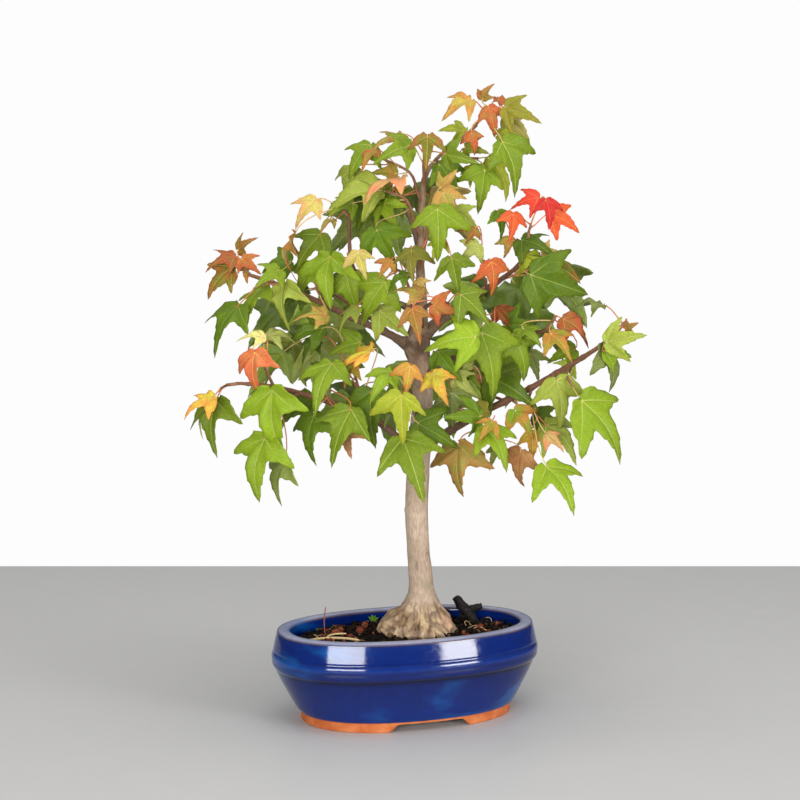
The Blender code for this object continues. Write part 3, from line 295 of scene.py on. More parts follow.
BARK_LIGHT = (190, 168, 147)
BARK_MID = (170, 148, 127)
BARK_BROWN = (130, 99, 73)
BARK_DARK = (70, 50, 36)

# Outline of half a blade, as degrees from the middle lobe and the distance from its foot.
GUIDE_BLADE = ((0, 1.0), (23, 0.52), (50, 0.70), (82, 0.38), (150, 0.045))
GUIDE_CENTRE = 0.3
BLADE = ((0, 1.0), (1.5, 0.94), (3.6, 0.86), (6.2, 0.775), (9.4, 0.69), (13.2, 0.61), (17.2, 0.535),
         (21.5, 0.47), (27, 0.425), (33, 0.43), (39, 0.49), (45, 0.57), (49.5, 0.66), (53, 0.75),
         (56.5, 0.665), (61, 0.575), (67.5, 0.48), (76, 0.395), (88, 0.31), (103, 0.235), (121, 0.17),
         (141, 0.105), (163, 0.05))
TOOTHED = (2, 3, 4, 5, 6, 10, 11, 12, 14, 15, 16, 17)  # the outline's points that make teeth
SIDE_LOBE = 53.0  # the way a side lobe points, and its length as a share of the middle lobe's
SIDE_LOBE_LENGTH = 0.72
SINUS = (24, 44)  # between these angles the middle lobe gives way to the side lobe
BLADE_ROWS = 5


# Points, directions and colours

def shade(colour):
    """A colour given out of 255, as the linear values that Blender works in."""
    return (*((c / 255 / 12.92 if c < 11 else ((c / 255 + 0.055) / 1.055) ** 2.4) for c in colour), 1.0)


def mixed(first, second, share):
    return tuple(a + (b - a) * share for a, b in zip(first, second))


def place(x, y, z):
    """A point of the rows, turned to stand in the pot."""
    c, s = math.cos(TREE_TURN), math.sin(TREE_TURN)
    return Vector((c * x - s * y, s * x + c * y, z))


def turned(direction):
    return Matrix.Rotation(TREE_TURN, 3, "Z") @ Vector(direction)


def smoothstep(low, high, value):
    t = min(max((value - low) / (high - low), 0.0), 1.0)
    return t * t * (3 - 2 * t)


def along(path, share):
    """The point, direction and radius at this share of a path's length."""
    lengths = [(b[0] - a[0]).length for a, b in zip(path, path[1:])]
    left = share * sum(lengths)
    for (a, b), length in zip(zip(path, path[1:]), lengths):
        if left <= length or b is path[-1]:
            t = min(1.0, left / length)
            return a[0].lerp(b[0], t), (b[0] - a[0]).normalized(), a[1] + (b[1] - a[1]) * t
        left -= length


def step_off(path, share, target, width):
    """Where a side shoot of this radius starts: just clear of the wood that it grows from."""
    point, direction, radius = along(path, share)
    out = target - point
    side = (out - direction * out.dot(direction)).normalized()
    lean = out.normalized().dot(side)
    reach = (radius + GAP * 1.3 + width * math.sqrt(max(0.0, 1 - lean * lean))) / max(lean, 0.35)
    return point + out.normalized() * reach


def share_at_height(path, z):
    """The share of the trunk's length at which it passes this height."""
    lengths = [(b[0] - a[0]).length for a, b in zip(path, path[1:])]
    done = 0.0
    for (a, b), length in zip(zip(path, path[1:]), lengths):
        if a[0].z <= z <= b[0].z:
            return (done + length * (z - a[0].z) / (b[0].z - a[0].z)) / sum(lengths)
        done += length
    return 1.0


def branch_paths():
    """The centre line of the trunk and of each branch, as points with their radius."""
    trunk = [(place(x, y, z), radius) for x, y, z, radius in TRUNK]
    paths = {"trunk": trunk}
    for name, (height, wide, narrow, points) in BRANCHES.items():
        knots = [place(*point) for point in points]
        knots.insert(0, step_off(trunk, share_at_height(trunk, height), knots[0], wide))
        count = len(knots) - 1
        paths[name] = [(knot, wide + (narrow - wide) * i / count) for i, knot in enumerate(knots)]
    return paths


def eased(path, step):
    """The path as a smooth curve through its own points, with a knot about every step."""
    knots = []
    last = len(path) - 1
    for i in range(last):
        before, start, end, after = (path[min(max(i + n, 0), last)] for n in (-1, 0, 1, 2))
        count = max(1, round((end[0] - start[0]).length / step))
        for n in range(count):
            t = n / count
            parts = (-t + 2 * t * t - t ** 3, 2 - 5 * t * t + 3 * t ** 3, t + 4 * t * t - 3 * t ** 3,
                     t ** 3 - t * t)
            point = sum((knot[0] * part / 2 for knot, part in zip((before, start, end, after), parts)),
                        Vector())
            radius = sum(knot[1] * part / 2 for knot, part in zip((before, start, end, after), parts))
            knots.append((point, radius))
    return knots + [path[-1]]


# Meshes

def new_piece(name, bm, materials, *nodes):
    """Makes a bmesh in millimetres a finished piece that rides on the root and stands for these nodes."""
    bm.transform(Matrix.Translation(POT_MIDDLE) @ Matrix.Scale(MM, 4))
    mesh = bpy.data.meshes.new(name)
    bm.to_mesh(mesh)
    bm.free()
    for material in materials:
        mesh.materials.append(material)
    mesh.shade_smooth()
    piece = bpy.data.objects.new(name, mesh)
    bpy.context.scene.collection.objects.link(piece)
    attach(piece, "root")
    if nodes:
        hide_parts(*nodes)
    return piece


def painted_mesh():
    """A new bmesh, and the layer that holds the tint of its vertices."""
    bm = bmesh.new()
    return bm, bm.verts.layers.float_color.new("tint")


def grow_ring(bm, ring, points):
    """Extrudes a ring of vertices on to new points. It returns the new ring in the same order."""
    edges = [bm.edges.get((ring[i - 1], ring[i])) for i in range(len(ring))]
    made = bmesh.ops.extrude_edge_only(bm, edges=edges)["geom"]
    grown = {item for item in made if isinstance(item, bmesh.types.BMVert)}
    following = []
    for vertex, point in zip(ring, points):
        above = next(v for v in (e.other_vert(vertex) for e in vertex.link_edges) if v in grown)
        above.co = point
        following.append(above)
    return following


def skin(bm, rings):
    """A closed skin over rings of points, both ends capped. It returns the rings as vertices."""
    first = bmesh.ops.create_circle(bm, cap_ends=True, segments=len(rings[0]), radius=1)["verts"]
    for vertex, point in zip(first, rings[0]):
        vertex.co = point
    grown = [first]
    for points in rings[1:]:
        grown.append(grow_ring(bm, grown[-1], points))
    bmesh.ops.contextual_create(bm, geom=grown[-1])
    faces = {face for ring in grown for vertex in ring for face in vertex.link_faces}
    bmesh.ops.recalc_face_normals(bm, faces=list(faces))
    return grown


def stem_rings(path, sides, swell=None):
    """Rings of points square to a path. swell(angle, point) gives what is added to the radius."""
    rings = []
    way = (path[1][0] - path[0][0]).normalized()
    side = Vector((1, 0, 0)) if abs(way.x) < 0.9 else Vector((0, 1, 0))
    side = (side - way * side.dot(way)).normalized()
    for i, (centre, radius) in enumerate(path):
        ahead = (path[min(i + 1, len(path) - 1)][0] - path[max(i - 1, 0)][0]).normalized()
        side = way.rotation_difference(ahead) @ side
        side = (side - ahead * side.dot(ahead)).normalized()
        way = ahead
        other = way.cross(side)
        ring = []
        for n in range(sides):
            angle = 2 * math.pi * n / sides
            outward = side * math.cos(angle) + other * math.sin(angle)
            more = swell(angle, centre + outward * radius) if swell else 0.0
            ring.append(centre + outward * (radius + more))
        rings.append(ring)
    return rings


def stem(bm, path, sides, tint, colour, swell=None):
    """A closed stem along a path, painted with colour, or by colour(point) where that is a function."""
    rings = skin(bm, stem_rings(path, sides, swell))
    for ring in rings:
        for vertex in ring:
            vertex[tint] = shade(colour(vertex.co) if callable(colour) else colour)


def oval(half_length, half_width, z, steps):
    """A ring of points on a rounded oval, long along X."""
    points = []
    for i in range(steps):
        angle = 2 * math.pi * i / steps
        c, s = math.cos(angle), math.sin(angle)
        x = half_length * math.copysign(abs(c) ** (2 / OVAL_POWER), c)
        y = half_width * math.copysign(abs(s) ** (2 / OVAL_POWER), s)
        points.append(Vector((x, y, z)))
    return points


# Where each leaf stands: the CAD model's own rules, worked on the same plain leaves. A leaf tries these
# moves in turn until it clears the others: how far back, then lean and twist in degrees, then its scale.

NUDGE_COUNT = 90
NUDGE_DEPTH = 2.0
NUDGE_LEAN = 6.0
NUDGE_TWIST = 7.0
NUDGE_SHRINK = 0.006
NUDGES = [(0.0, 0.0, 0.0, 1.0)]
for step in range(1, NUDGE_COUNT):
    deeper = (step + 1) // 2 * NUDGE_DEPTH * (1 if step % 2 else -1)
    lean, twist = (step % 5 - 2) * NUDGE_LEAN, (step % 7 - 3) * NUDGE_TWIST
    NUDGES.append((deeper, lean, twist, 1.0 - NUDGE_SHRINK * step))
TURN_STEP = 137.5  # degrees from one leaf of a back spray to the next
FRONT_LIMIT = 30.0  # leaves nearer than this face forwards, the others backwards
SIDE_FACING = 1.8  # how much the leaves at the sides of the crown turn to face sideways
LEAF_DROOP = 12.0  # degrees that a leaf leans outwards, and how much that varies
LEAF_DROOP_SPREAD = 16.0
ELBOW_BELOW = 0.35  # a stalk that leaves its blade more sharply than this has an elbow
ELBOW_LENGTH = 2.5


class Clearances:
    """The solids placed so far, and whether a new one would touch them."""

    def __init__(self):
        self.held = []

    def add(self, points, faces, owner):
        self.held.append((*self.tree_of(points, faces), owner))

    @staticmethod
    def tree_of(points, faces):
        low = Vector([min(p[i] for p in points) for i in range(3)])
        high = Vector([max(p[i] for p in points) for i in range(3)])
        return BVHTree.FromPolygons(points, faces), low, high

    def touches(self, points, faces, besides=None):
        tree, low, high = self.tree_of(points, faces)
        for other, other_low, other_high, owner in self.held:
            apart = any(low[i] > other_high[i] or high[i] < other_low[i] for i in range(3))
            if not apart and owner != besides and tree.overlap(other):
                return True
        return False


def points_and_faces(bm):
    bm.verts.index_update()
    found = [v.co.copy() for v in bm.verts], [tuple(v.index for v in face.verts) for face in bm.faces]
    bm.free()
    return found


def node_solid(name):
    """The points, in millimetres from the middle of the pot, and the faces of a CAD node."""
    mesh = frame["nodes"][name].data
    return [(v.co - POT_MIDDLE) / MM for v in mesh.vertices], [tuple(f.vertices) for f in mesh.polygons]


def blade_height(x, y, length):
    """How far the blade stands above its own plane: the midrib arches over and the sides fold down."""
    arch = 0.10 * math.sin(math.pi * min(max(x, 0), 1))
    return length * (arch - 0.22 * x * x - 0.30 * y * y)


def leaf_frame(foot, aim, lean, roll, front, sideways):
    """The blade's place: X along the midrib, Z out of the upper face, which looks away from the tree."""
    aim, lean, roll = math.radians(aim), math.radians(lean), math.radians(roll)
    facing = -1 if front else 1
    midrib = Vector((math.cos(aim) * math.cos(lean), facing * math.sin(lean), math.sin(aim) * math.cos(lean)))
    out = Vector((sideways, facing, 0.45))
    normal = (out - midrib * out.dot(midrib)).normalized()
    normal = Matrix.Rotation(roll, 3, midrib) @ normal
    midrib, normal = turned(midrib), turned(normal)
    side = normal.cross(midrib)
    return Matrix.Translation(foot) @ Matrix((midrib, side, normal)).transposed().to_4x4()


def draw_out(bm, face, end, old_way, new_way):
    """Extrudes a face to end and turns it square to its new direction. It returns the moved face."""
    grown = bmesh.ops.extrude_discrete_faces(bm, faces=[face])["faces"][0]
    middle = grown.calc_center_median()
    turn = old_way.rotation_difference(new_way)
    for vertex in grown.verts:
        vertex.co = end + turn @ (vertex.co - middle)
    return grown


def guide_leaf(frame, length, root, extra):
    """The CAD model's plain leaf with this much clearance round it, with its stalk where there is a root."""
    outline = [(math.radians(a), r) for a, r in GUIDE_BLADE]
    outline += [(-a, r) for a, r in reversed(outline[1:])]
    bm = bmesh.new()
    made = bmesh.ops.create_circle(bm, cap_ends=True, cap_tris=True, segments=len(outline), radius=1)
    rim = [v for v in made["verts"] if len(v.link_faces) == 2]
    centre = next(v for v in made["verts"] if len(v.link_faces) > 2)
    for vertex, (angle, reach) in zip(rim, outline):
        x, y = reach * math.cos(angle), reach * math.sin(angle)
        vertex.co = (x * length, y * length, blade_height(x, y, length))
    centre.co = (GUIDE_CENTRE * length, 0, blade_height(GUIDE_CENTRE, 0, length))
    thick = LEAF_THICKNESS + 2 * extra
    heel = [rim[len(GUIDE_BLADE) - 1], rim[len(GUIDE_BLADE)]]
    for vertex, side in zip(heel, (1, -1)):
        vertex.co = (vertex.co.x, side * (PETIOLE_WIDTH / 2 + extra), vertex.co.z)
    for vertex in bm.verts:
        vertex.co.z -= thick / 2
    top = bmesh.ops.extrude_face_region(bm, geom=bm.faces[:] + bm.edges[:] + bm.verts[:])["geom"]
    lifted = [item for item in top if isinstance(item, bmesh.types.BMVert)]
    bmesh.ops.translate(bm, verts=lifted, vec=(0, 0, thick))
    bm.transform(frame)
    if root:
        low = set(heel)
        face = next(f for f in bm.faces if len(f.verts) == 4 and low <= set(f.verts))
        back = -frame.to_3x3().col[0]
        heel_point = face.calc_center_median()
        towards = (root - heel_point).normalized()
        if towards.dot(back) < ELBOW_BELOW:
            bend = (towards + 1.6 * back).normalized()
            face = draw_out(bm, face, heel_point + ELBOW_LENGTH * bend, back, bend)
            back = bend
        draw_out(bm, face, root, back, (root - face.calc_center_median()).normalized())
    return points_and_faces(bm)


def crosses_itself(points, faces):
    """Whether faces that share no corner meet, as where a stalk runs back through its own blade."""
    tree = BVHTree.FromPolygons(points, faces)
    return any(not set(faces[a]) & set(faces[b]) for a, b in tree.overlap(tree))


def set_leaf(row, owner, path, shares, held):
    """A leaf's place, length and root on its twig, moved or turned a little where something is in its way."""
    x, y, z, aim, length, _, roll = row
    front = y < FRONT_LIMIT
    for deeper, lean, twist, shrink in NUDGES:
        size = length * shrink
        foot = place(x, y + deeper, z)
        droop = LEAF_DROOP + LEAF_DROOP_SPREAD * math.sin(0.37 * x + 0.23 * z) + lean
        spot = leaf_frame(foot, aim + twist / 2, droop, roll + twist, front, SIDE_FACING * x / CROWN_SPREAD)
        if held.touches(*guide_leaf(spot, size, None, GAP / 2)):
            continue
        for share in sorted(shares, key=lambda s: (along(path, s)[0] - foot).length):
            root = along(path, share)[0]
            whole = guide_leaf(spot, size, root, GAP / 2)
            if not crosses_itself(*whole) and not held.touches(*whole, besides=owner):
                shares.remove(share)
                held.add(*guide_leaf(spot, size, root, 0.0), owner)
                return spot, size, root
    raise RuntimeError(f"no room for a leaf of {owner} at {x}, {y}, {z}")


def back_rows(end, count):
    """Leaves hanging round the end of a twig at the back."""
    rows = []
    x, y, z = end
    for i in range(count):
        angle = math.radians(TURN_STEP * i)
        reach = 17 + 4 * (i % 3)
        aim = 270 + 55 * math.cos(angle)
        tint = BACK_TINTS[(i * 5 + round(abs(x))) % len(BACK_TINTS)]
        rows.append((x + reach * math.cos(angle), y + reach * 0.6 * math.sin(angle) + 4,
                     z + 9 * math.sin(angle + 1) - 4, aim, 30 + 4 * (i % 3), tint, 12 * math.sin(angle)))
    return rows


def settled_sprays():
    """Each spray, as the point in its wood that it grows from, its twig's path and its leaves. A leaf is its
    place, its length, its root on the twig and its tint."""
    paths = branch_paths()
    held = Clearances()
    for name in paths:
        held.add(*node_solid(name), name)
    twigs = {}
    rows = {}
    for name, (host, share, points, leaves) in SPRAYS.items():
        twigs[name] = (host, share, [place(*p) for p in points])
        rows[name] = leaves
    for name, (host, share, end, count) in BACK_SPRAYS.items():
        twigs[name] = (host, share, [place(*end)])
        rows[name] = back_rows(end, count)
    for name, (host, share, knots) in twigs.items():
        knots = [step_off(paths[host], share, knots[0], TWIG_WIDTH / 2)] + knots
        count = len(knots) - 1
        paths[name] = [(k, TWIG_WIDTH / 2 * (1 - 0.25 * i / count)) for i, k in enumerate(knots)]
        bm = bmesh.new()
        skin(bm, stem_rings(paths[name], 6))
        held.add(*points_and_faces(bm), name)
    sprays = {}
    for name, leaves in rows.items():
        shares = [0.25 + 0.73 * i / len(leaves) for i in range(len(leaves) + 1)]
        placed = []
        for row in leaves:
            placed.append((*set_leaf(row, name, paths[name], shares, held), row[5]))
        host, share = twigs[name][:2]
        sprays[name] = (along(paths[host], share)[0], paths[name], placed)
    return sprays


# Finishes

class Finish:
    """A material, and short ways to add the nodes that pattern it. Scales are in features per metre."""

    def __init__(self, name, **sockets):
        self.material = bpy.data.materials.new(name)
        self.material.use_nodes = True
        self.nodes = self.material.node_tree.nodes
        self.shader = self.nodes["Principled BSDF"]
        for socket, value in sockets.items():
            self.shader.inputs[socket.replace("_", " ")].default_value = value
        self.place = self.node("ShaderNodeTexCoord").outputs["Object"]

    def node(self, kind, **settings):
        made = self.nodes.new(kind)
        for setting, value in settings.items():
            setattr(made, setting, value)
        return made

    def feed(self, socket, value):
        """Links a node's output to the socket, or sets the socket to a plain value."""
        if isinstance(value, bpy.types.NodeSocket):
            self.material.node_tree.links.new(value, socket)
        else:
            socket.default_value = value

    def painted(self, name):
        """The colour that the mesh holds in this layer."""
        return self.node("ShaderNodeAttribute", attribute_name=name).outputs["Color"]

    def stretched(self, x, y, z):
        """Object coordinates scaled along each axis: a smaller number draws the pattern out."""
        mapping = self.node("ShaderNodeMapping")
        self.feed(mapping.inputs["Vector"], self.place)
        mapping.inputs["Scale"].default_value = (x, y, z)
        return mapping.outputs["Vector"]

    def noise(self, scale, detail=3.0, where=None, distortion=0.0):
        made = self.node("ShaderNodeTexNoise")
        self.feed(made.inputs["Vector"], where or self.place)
        made.inputs["Scale"].default_value = scale
        made.inputs["Detail"].default_value = detail
        made.inputs["Distortion"].default_value = distortion
        return made.outputs["Fac"]

    def cells(self, scale, where=None, feature="F1"):
        made = self.node("ShaderNodeTexVoronoi", feature=feature)
        self.feed(made.inputs["Vector"], where or self.place)
        made.inputs["Scale"].default_value = scale
        return made.outputs["Distance"]

    def spread(self, value, low, high, to_low=0.0, to_high=1.0):
        """Eases value from to_low to to_high while it goes from low to high."""
        made = self.node("ShaderNodeMapRange", interpolation_type="SMOOTHSTEP")
        for socket, number in zip(made.inputs, (value, low, high, to_low, to_high)):
            self.feed(socket, number)
        return made.outputs["Result"]

    def sum(self, operation, first, second=0.0):
        made = self.node("ShaderNodeMath", operation=operation)
        self.feed(made.inputs[0], first)
        self.feed(made.inputs[1], second)
        return made.outputs["Value"]

    def blend(self, share, first, second, kind="MIX"):
        """Mixes a share of the second colour into the first."""
        made = self.node("ShaderNodeMix", data_type="RGBA", blend_type=kind)
        for name, value in (("Factor_Float", share), ("A_Color", first), ("B_Color", second)):
            self.feed(next(s for s in made.inputs if s.identifier == name), value)
        return next(s for s in made.outputs if s.identifier == "Result_Color")

    def ramp(self, value, *stops):
        """Runs through stops, each a position and a colour out of 255."""
        made = self.node("ShaderNodeValToRGB")
        self.feed(made.inputs["Fac"], value)
        elements = made.color_ramp.elements
        while len(elements) < len(stops):
            elements.new(0.5)
        for element, (position, colour) in zip(elements, stops):
            element.position = position
            element.color = shade(colour)
        return made.outputs["Color"]

    def bump(self, height, distance, strength=0.5, before=None):
        """Raises the surface by up to this many millimetres, on top of an earlier bump."""
        made = self.node("ShaderNodeBump")
        made.inputs["Distance"].default_value = distance * MM
        made.inputs["Strength"].default_value = strength
        self.feed(made.inputs["Height"], height)
        if before:
            self.feed(made.inputs["Normal"], before)
        return made.outputs["Normal"]

    def finished(self, colour, roughness, normal=None):
        self.feed(self.shader.inputs["Base Color"], colour)
        self.feed(self.shader.inputs["Roughness"], roughness)
        if normal:
            self.feed(self.shader.inputs["Normal"], normal)
        return self.material


def blade_finish():
    """A leaf blade: its painted tint, with main veins, side veins and a fine net between them."""
    leaf = Finish("maple_blade", Specular_IOR_Level=0.2)
    split = leaf.node("ShaderNodeSeparateXYZ")
    leaf.feed(split.inputs[0], leaf.node("ShaderNodeUVMap", uv_map="veins").outputs["UV"])
    length, across = split.outputs["X"], split.outputs["Y"]
    main = leaf.spread(across, 0.004, 0.013, 1.0, 0.0)
    slanted = leaf.sum("SUBTRACT", length, leaf.sum("MULTIPLY", across, 1.1))
    side = leaf.sum("PINGPONG", leaf.sum("MULTIPLY", slanted, 9.0), 0.5)
    side = leaf.spread(side, 0.01, 0.06, 0.45, 0.0)
    net = leaf.cells(38.0, leaf.node("ShaderNodeUVMap", uv_map="veins").outputs["UV"], "DISTANCE_TO_EDGE")
    net = leaf.spread(net, 0.01, 0.09, 0.16, 0.0)
    veins = leaf.sum("MAXIMUM", main, leaf.sum("MAXIMUM", side, net))
    patches = leaf.noise(130.0, 3.0)
    colour = leaf.blend(leaf.spread(patches, 0.38, 0.62, 0.0, 0.7), leaf.painted("tint"),
                        leaf.painted("margin"))
    colour = leaf.blend(leaf.sum("MULTIPLY", veins, 0.8), colour, leaf.painted("vein_tint"))
    worn = leaf.spread(leaf.noise(900.0, 2.0), 0.3, 0.75, 0.8, 0.97)
    colour = leaf.blend(1.0, colour, worn, "MULTIPLY")
    roughness = leaf.spread(patches, 0.2, 0.8, 0.38, 0.56)
    normal = leaf.bump(leaf.sum("MULTIPLY", veins, -1.0), 0.25, 0.5)
    return leaf.finished(colour, roughness, leaf.bump(leaf.noise(700.0, 2.0), 0.12, 0.35, normal))


def stalk_finish():
    """Leaf stalks and young twigs: their painted tint, with a faint grain along them."""
    stalk = Finish("young_stem", Specular_IOR_Level=0.4)
    grain = stalk.noise(1400.0, 2.0)
    colour = stalk.blend(1.0, stalk.painted("tint"), stalk.spread(grain, 0.3, 0.7, 0.78, 1.12), "MULTIPLY")
    return stalk.finished(colour, stalk.spread(grain, 0.2, 0.8, 0.42, 0.6), stalk.bump(grain, 0.1, 0.4))


def bark_finish():
    """Smooth young maple bark: pale flecks, fine upright streaks, lenticels and darker cracks."""
    bark = Finish("maple_bark", Specular_IOR_Level=0.25)
    upright = bark.stretched(1.0, 1.0, 0.28)
    level = bark.stretched(1.0, 1.0, 2.6)
    streaks = bark.noise(900.0, 4.0, upright)
    patches = bark.noise(160.0, 4.0, distortion=0.4)
    flecks = bark.cells(520.0, level)
    colour = bark.blend(bark.spread(patches, 0.35, 0.7, 0.0, 0.55), bark.painted("tint"),
                        shade(BARK_MID))
    colour = bark.blend(1.0, colour, bark.spread(streaks, 0.3, 0.72, 0.8, 1.12), "MULTIPLY")
    colour = bark.blend(bark.spread(flecks, 0.05, 0.16, 0.4, 0.0), colour, shade((216, 200, 178)))
    fissures = bark.noise(260.0, 5.0, upright, 1.2)
    colour = bark.blend(bark.spread(fissures, 0.26, 0.38, 0.45, 0.0), colour, shade(BARK_DARK))
    lichen = bark.spread(bark.noise(70.0, 5.0), 0.58, 0.72, 0.0, 0.35)
    colour = bark.blend(lichen, colour, shade((132, 132, 92)))
    rough = bark.spread(patches, 0.2, 0.8, 0.68, 0.9)
    normal = bark.bump(streaks, 0.25, 0.45)
    normal = bark.bump(flecks, 0.15, 0.25, normal)
    return bark.finished(colour, rough, bark.bump(patches, 0.8, 0.35, normal))


def twig_bark_finish():
    """The thinner, darker bark of the branches, with paler lenticels."""
    bark = Finish("branch_bark", Specular_IOR_Level=0.3)
    streaks = bark.noise(1100.0, 4.0)
    flecks = bark.cells(900.0)
    colour = bark.blend(1.0, bark.painted("tint"), bark.spread(streaks, 0.3, 0.7, 0.6, 1.25), "MULTIPLY")
    colour = bark.blend(bark.spread(flecks, 0.04, 0.14, 0.7, 0.0), colour, shade((176, 150, 120)))
    normal = bark.bump(streaks, 0.3, 0.6)
    return bark.finished(colour, bark.spread(streaks, 0.2, 0.8, 0.6, 0.85), normal)


def glaze_finish(settings):
    """Cobalt glaze that breaks pale over the lip and the ridge, with a painted reflection on the lip and a
    painted highlight on the ridge, and painted shade that darkens the creases.
    """
    glaze = Finish("cobalt_glaze", Specular_IOR_Level=0.4)
    split = glaze.node("ShaderNodeSeparateXYZ")
    glaze.feed(split.inputs[0], glaze.place)
    wobble = glaze.sum("MULTIPLY", glaze.sum("SUBTRACT", glaze.noise(30.0, 2.0), 0.5), 0.7 * MM)
    height = glaze.sum("DIVIDE", glaze.sum("ADD", split.outputs["Z"], wobble), POT_HEIGHT * MM)
    colour = glaze.ramp(  # by shares of the pot's height: foot, body, crease, belt, rim and lip
        height,
        # The stops from 0.52 to 0.592, and the one at 0.665, darken the crease under the belt and the groove
        # above it: painted shade.
        (0.10, (16, 48, 106)), (0.135, (4, 34, 104)), (0.34, (4, 30, 96)), (0.52, (3, 24, 86)),
        (0.568, (2, 13, 58)), (0.578, (1, 4, 22)), (0.592, (3, 18, 70)), (0.63, (4, 28, 94)),
        # The paler stops at 0.70 and 0.73 on the ridge, and those from 0.985 up over the lip, are glaze
        # breaking thin. They are also partly a painted highlight on the ridge and a painted reflection of the
        # light from above on the lip.
        (0.665, (3, 22, 80)), (0.70, (6, 36, 106)), (0.73, (8, 40, 112)), (0.765, (4, 28, 90)),
        (0.79, (4, 30, 98)), (0.955, (5, 31, 98)), (0.968, (34, 40, 80)), (0.976, (92, 78, 82)),
        (0.985, (104, 100, 124)), (0.992, (138, 140, 166)), (1.0, (160, 162, 184)))
    clouds = glaze.noise(26.0, 3.0, glaze.stretched(0.55, 0.55, 1.5), 0.5)
    colour = glaze.blend(glaze.spread(clouds, 0.50, 0.68, 0.0, 0.65), colour,
                         (*settings.glaze_colour, 1))
    depth = glaze.spread(glaze.noise(180.0, 3.0), 0.3, 0.7, 0.93, 1.06)
    colour = glaze.blend(1.0, colour, depth, "MULTIPLY")
    specks = glaze.spread(glaze.cells(560.0), 0.02, 0.07, 0.16, 0.0)
    colour = glaze.blend(specks, colour, shade((96, 120, 176)))
    roughness = glaze.spread(glaze.noise(420.0, 3.0), 0.3, 0.7, 0.06, 0.13)
    normal = glaze.bump(glaze.noise(40.0, 2.0), 1.0, 0.08)
    return glaze.finished(colour, roughness, glaze.bump(glaze.noise(800.0, 2.0), 0.04, 0.08, normal))


def clay_finish(settings):
    """Bare fired clay: orange-red, sandy, with darker grog and paler dust."""
    clay = Finish("bare_clay", Specular_IOR_Level=0.2)
    patches = clay.noise(120.0, 4.0)
    colour = clay.blend(clay.spread(patches, 0.3, 0.72), (*settings.clay_colour, 1), shade((206, 124, 74)))
    colour = clay.blend(clay.spread(clay.cells(1300.0), 0.06, 0.2, 0.5, 0.0), colour, shade((120, 56, 30)))
    colour = clay.blend(clay.spread(clay.noise(2600.0, 2.0), 0.6, 0.75, 0.0, 0.35), colour,
                        shade((226, 168, 122)))
    return clay.finished(colour, clay.spread(patches, 0.2, 0.8, 0.75, 0.95),
                         clay.bump(clay.noise(2200.0, 3.0), 0.12, 0.6))


def earth_finish(name, bumpiness=0.6, glint=0.1):
    """Potting mix and what lies in it: the painted tint, broken up by fine pores and fibres."""
    earth = Finish(name, Specular_IOR_Level=glint)
    pores = earth.noise(1500.0, 5.0)
    colour = earth.blend(1.0, earth.painted("tint"), earth.spread(pores, 0.25, 0.75, 0.5, 1.45), "MULTIPLY")
    specks = earth.spread(earth.cells(2100.0), 0.05, 0.16, 0.35, 0.0)
    colour = earth.blend(specks, colour, shade((96, 78, 60)))
    return earth.finished(colour, earth.spread(pores, 0.2, 0.8, 0.8, 0.98),
                          earth.bump(pores, 0.4, bumpiness))


def charcoal_finish():
    """Charred bark: black, with a dull sheen and brown where the char has worn."""
    char = Finish("charred_bark", Specular_IOR_Level=0.35)
    flakes = char.cells(420.0, feature="DISTANCE_TO_EDGE")
    grain = char.noise(900.0, 5.0)
    colour = char.ramp(grain, (0.3, (12, 10, 10)), (0.62, (30, 24, 22)), (0.8, (66, 48, 38)))
    normal = char.bump(char.spread(flakes, 0.0, 0.12), 0.6, 0.7)
    return char.finished(colour, char.spread(grain, 0.2, 0.8, 0.5, 0.85), char.bump(grain, 0.4, 0.6, normal))


def net_finish():
    """Black plastic drain net."""
    net = Finish("drain_net", Specular_IOR_Level=0.5)
    grain = net.noise(1800.0, 2.0)
    colour = net.ramp(grain, (0.2, (16, 16, 17)), (0.8, (34, 34, 36)))
    return net.finished(colour, net.spread(grain, 0.2, 0.8, 0.42, 0.6), net.bump(grain, 0.05, 0.3))


# Settings that a user would change

class BonsaiPotSettings(bpy.types.PropertyGroup):
    """Colours and fineness of the pot."""

    glaze_colour: bpy.props.FloatVectorProperty(
        name="Glaze", description="Colour of the lighter clouds in the glaze", subtype="COLOR",
        default=(0.003, 0.09, 0.32), min=0, max=1)
    clay_colour: bpy.props.FloatVectorProperty(
        name="Clay", description="Colour of the bare foot", subtype="COLOR",
        default=(0.47, 0.105, 0.026), min=0, max=1)
    steps: bpy.props.IntProperty(
        name="Steps", description="Points round the pot", default=176, min=48, max=400)


class BonsaiTreeSettings(bpy.types.PropertyGroup):
    """Fineness of the wood and form of the leaves."""

    trunk_sides: bpy.props.IntProperty(
        name="Trunk sides", description="Points round the trunk", default=120, min=16, max=200)
    ring_step: bpy.props.FloatProperty(
        name="Ring spacing", description="Height between the trunk's rings", subtype="DISTANCE",
        unit="LENGTH", default=1.0 * MM, min=0.5 * MM)
    leaf_thickness: bpy.props.FloatProperty(
        name="Leaf thickness", description="Thickness of a leaf blade", subtype="DISTANCE",
        unit="LENGTH", default=0.3 * MM, min=0.1 * MM)
    stalk_width: bpy.props.FloatProperty(
        name="Stalk width", description="Width of a leaf stalk", subtype="DISTANCE",
        unit="LENGTH", default=0.75 * MM, min=0.3 * MM)
    serration: bpy.props.FloatProperty(
        name="Serration", description="Depth of the teeth, as a share of the lobe", default=0.04, min=0)
    leaf_seed: bpy.props.IntProperty(
        name="Leaf seed", description="Starts the small differences between leaves", default=7)


class BonsaiSoilSettings(bpy.types.PropertyGroup):
    """The soil's grains."""

    grains: bpy.props.IntProperty(
        name="Grains", description="Number of grains on the surface", default=1900, min=0)
    grain_seed: bpy.props.IntProperty(
        name="Grain seed", description="Starts the scatter of the grains", default=3)


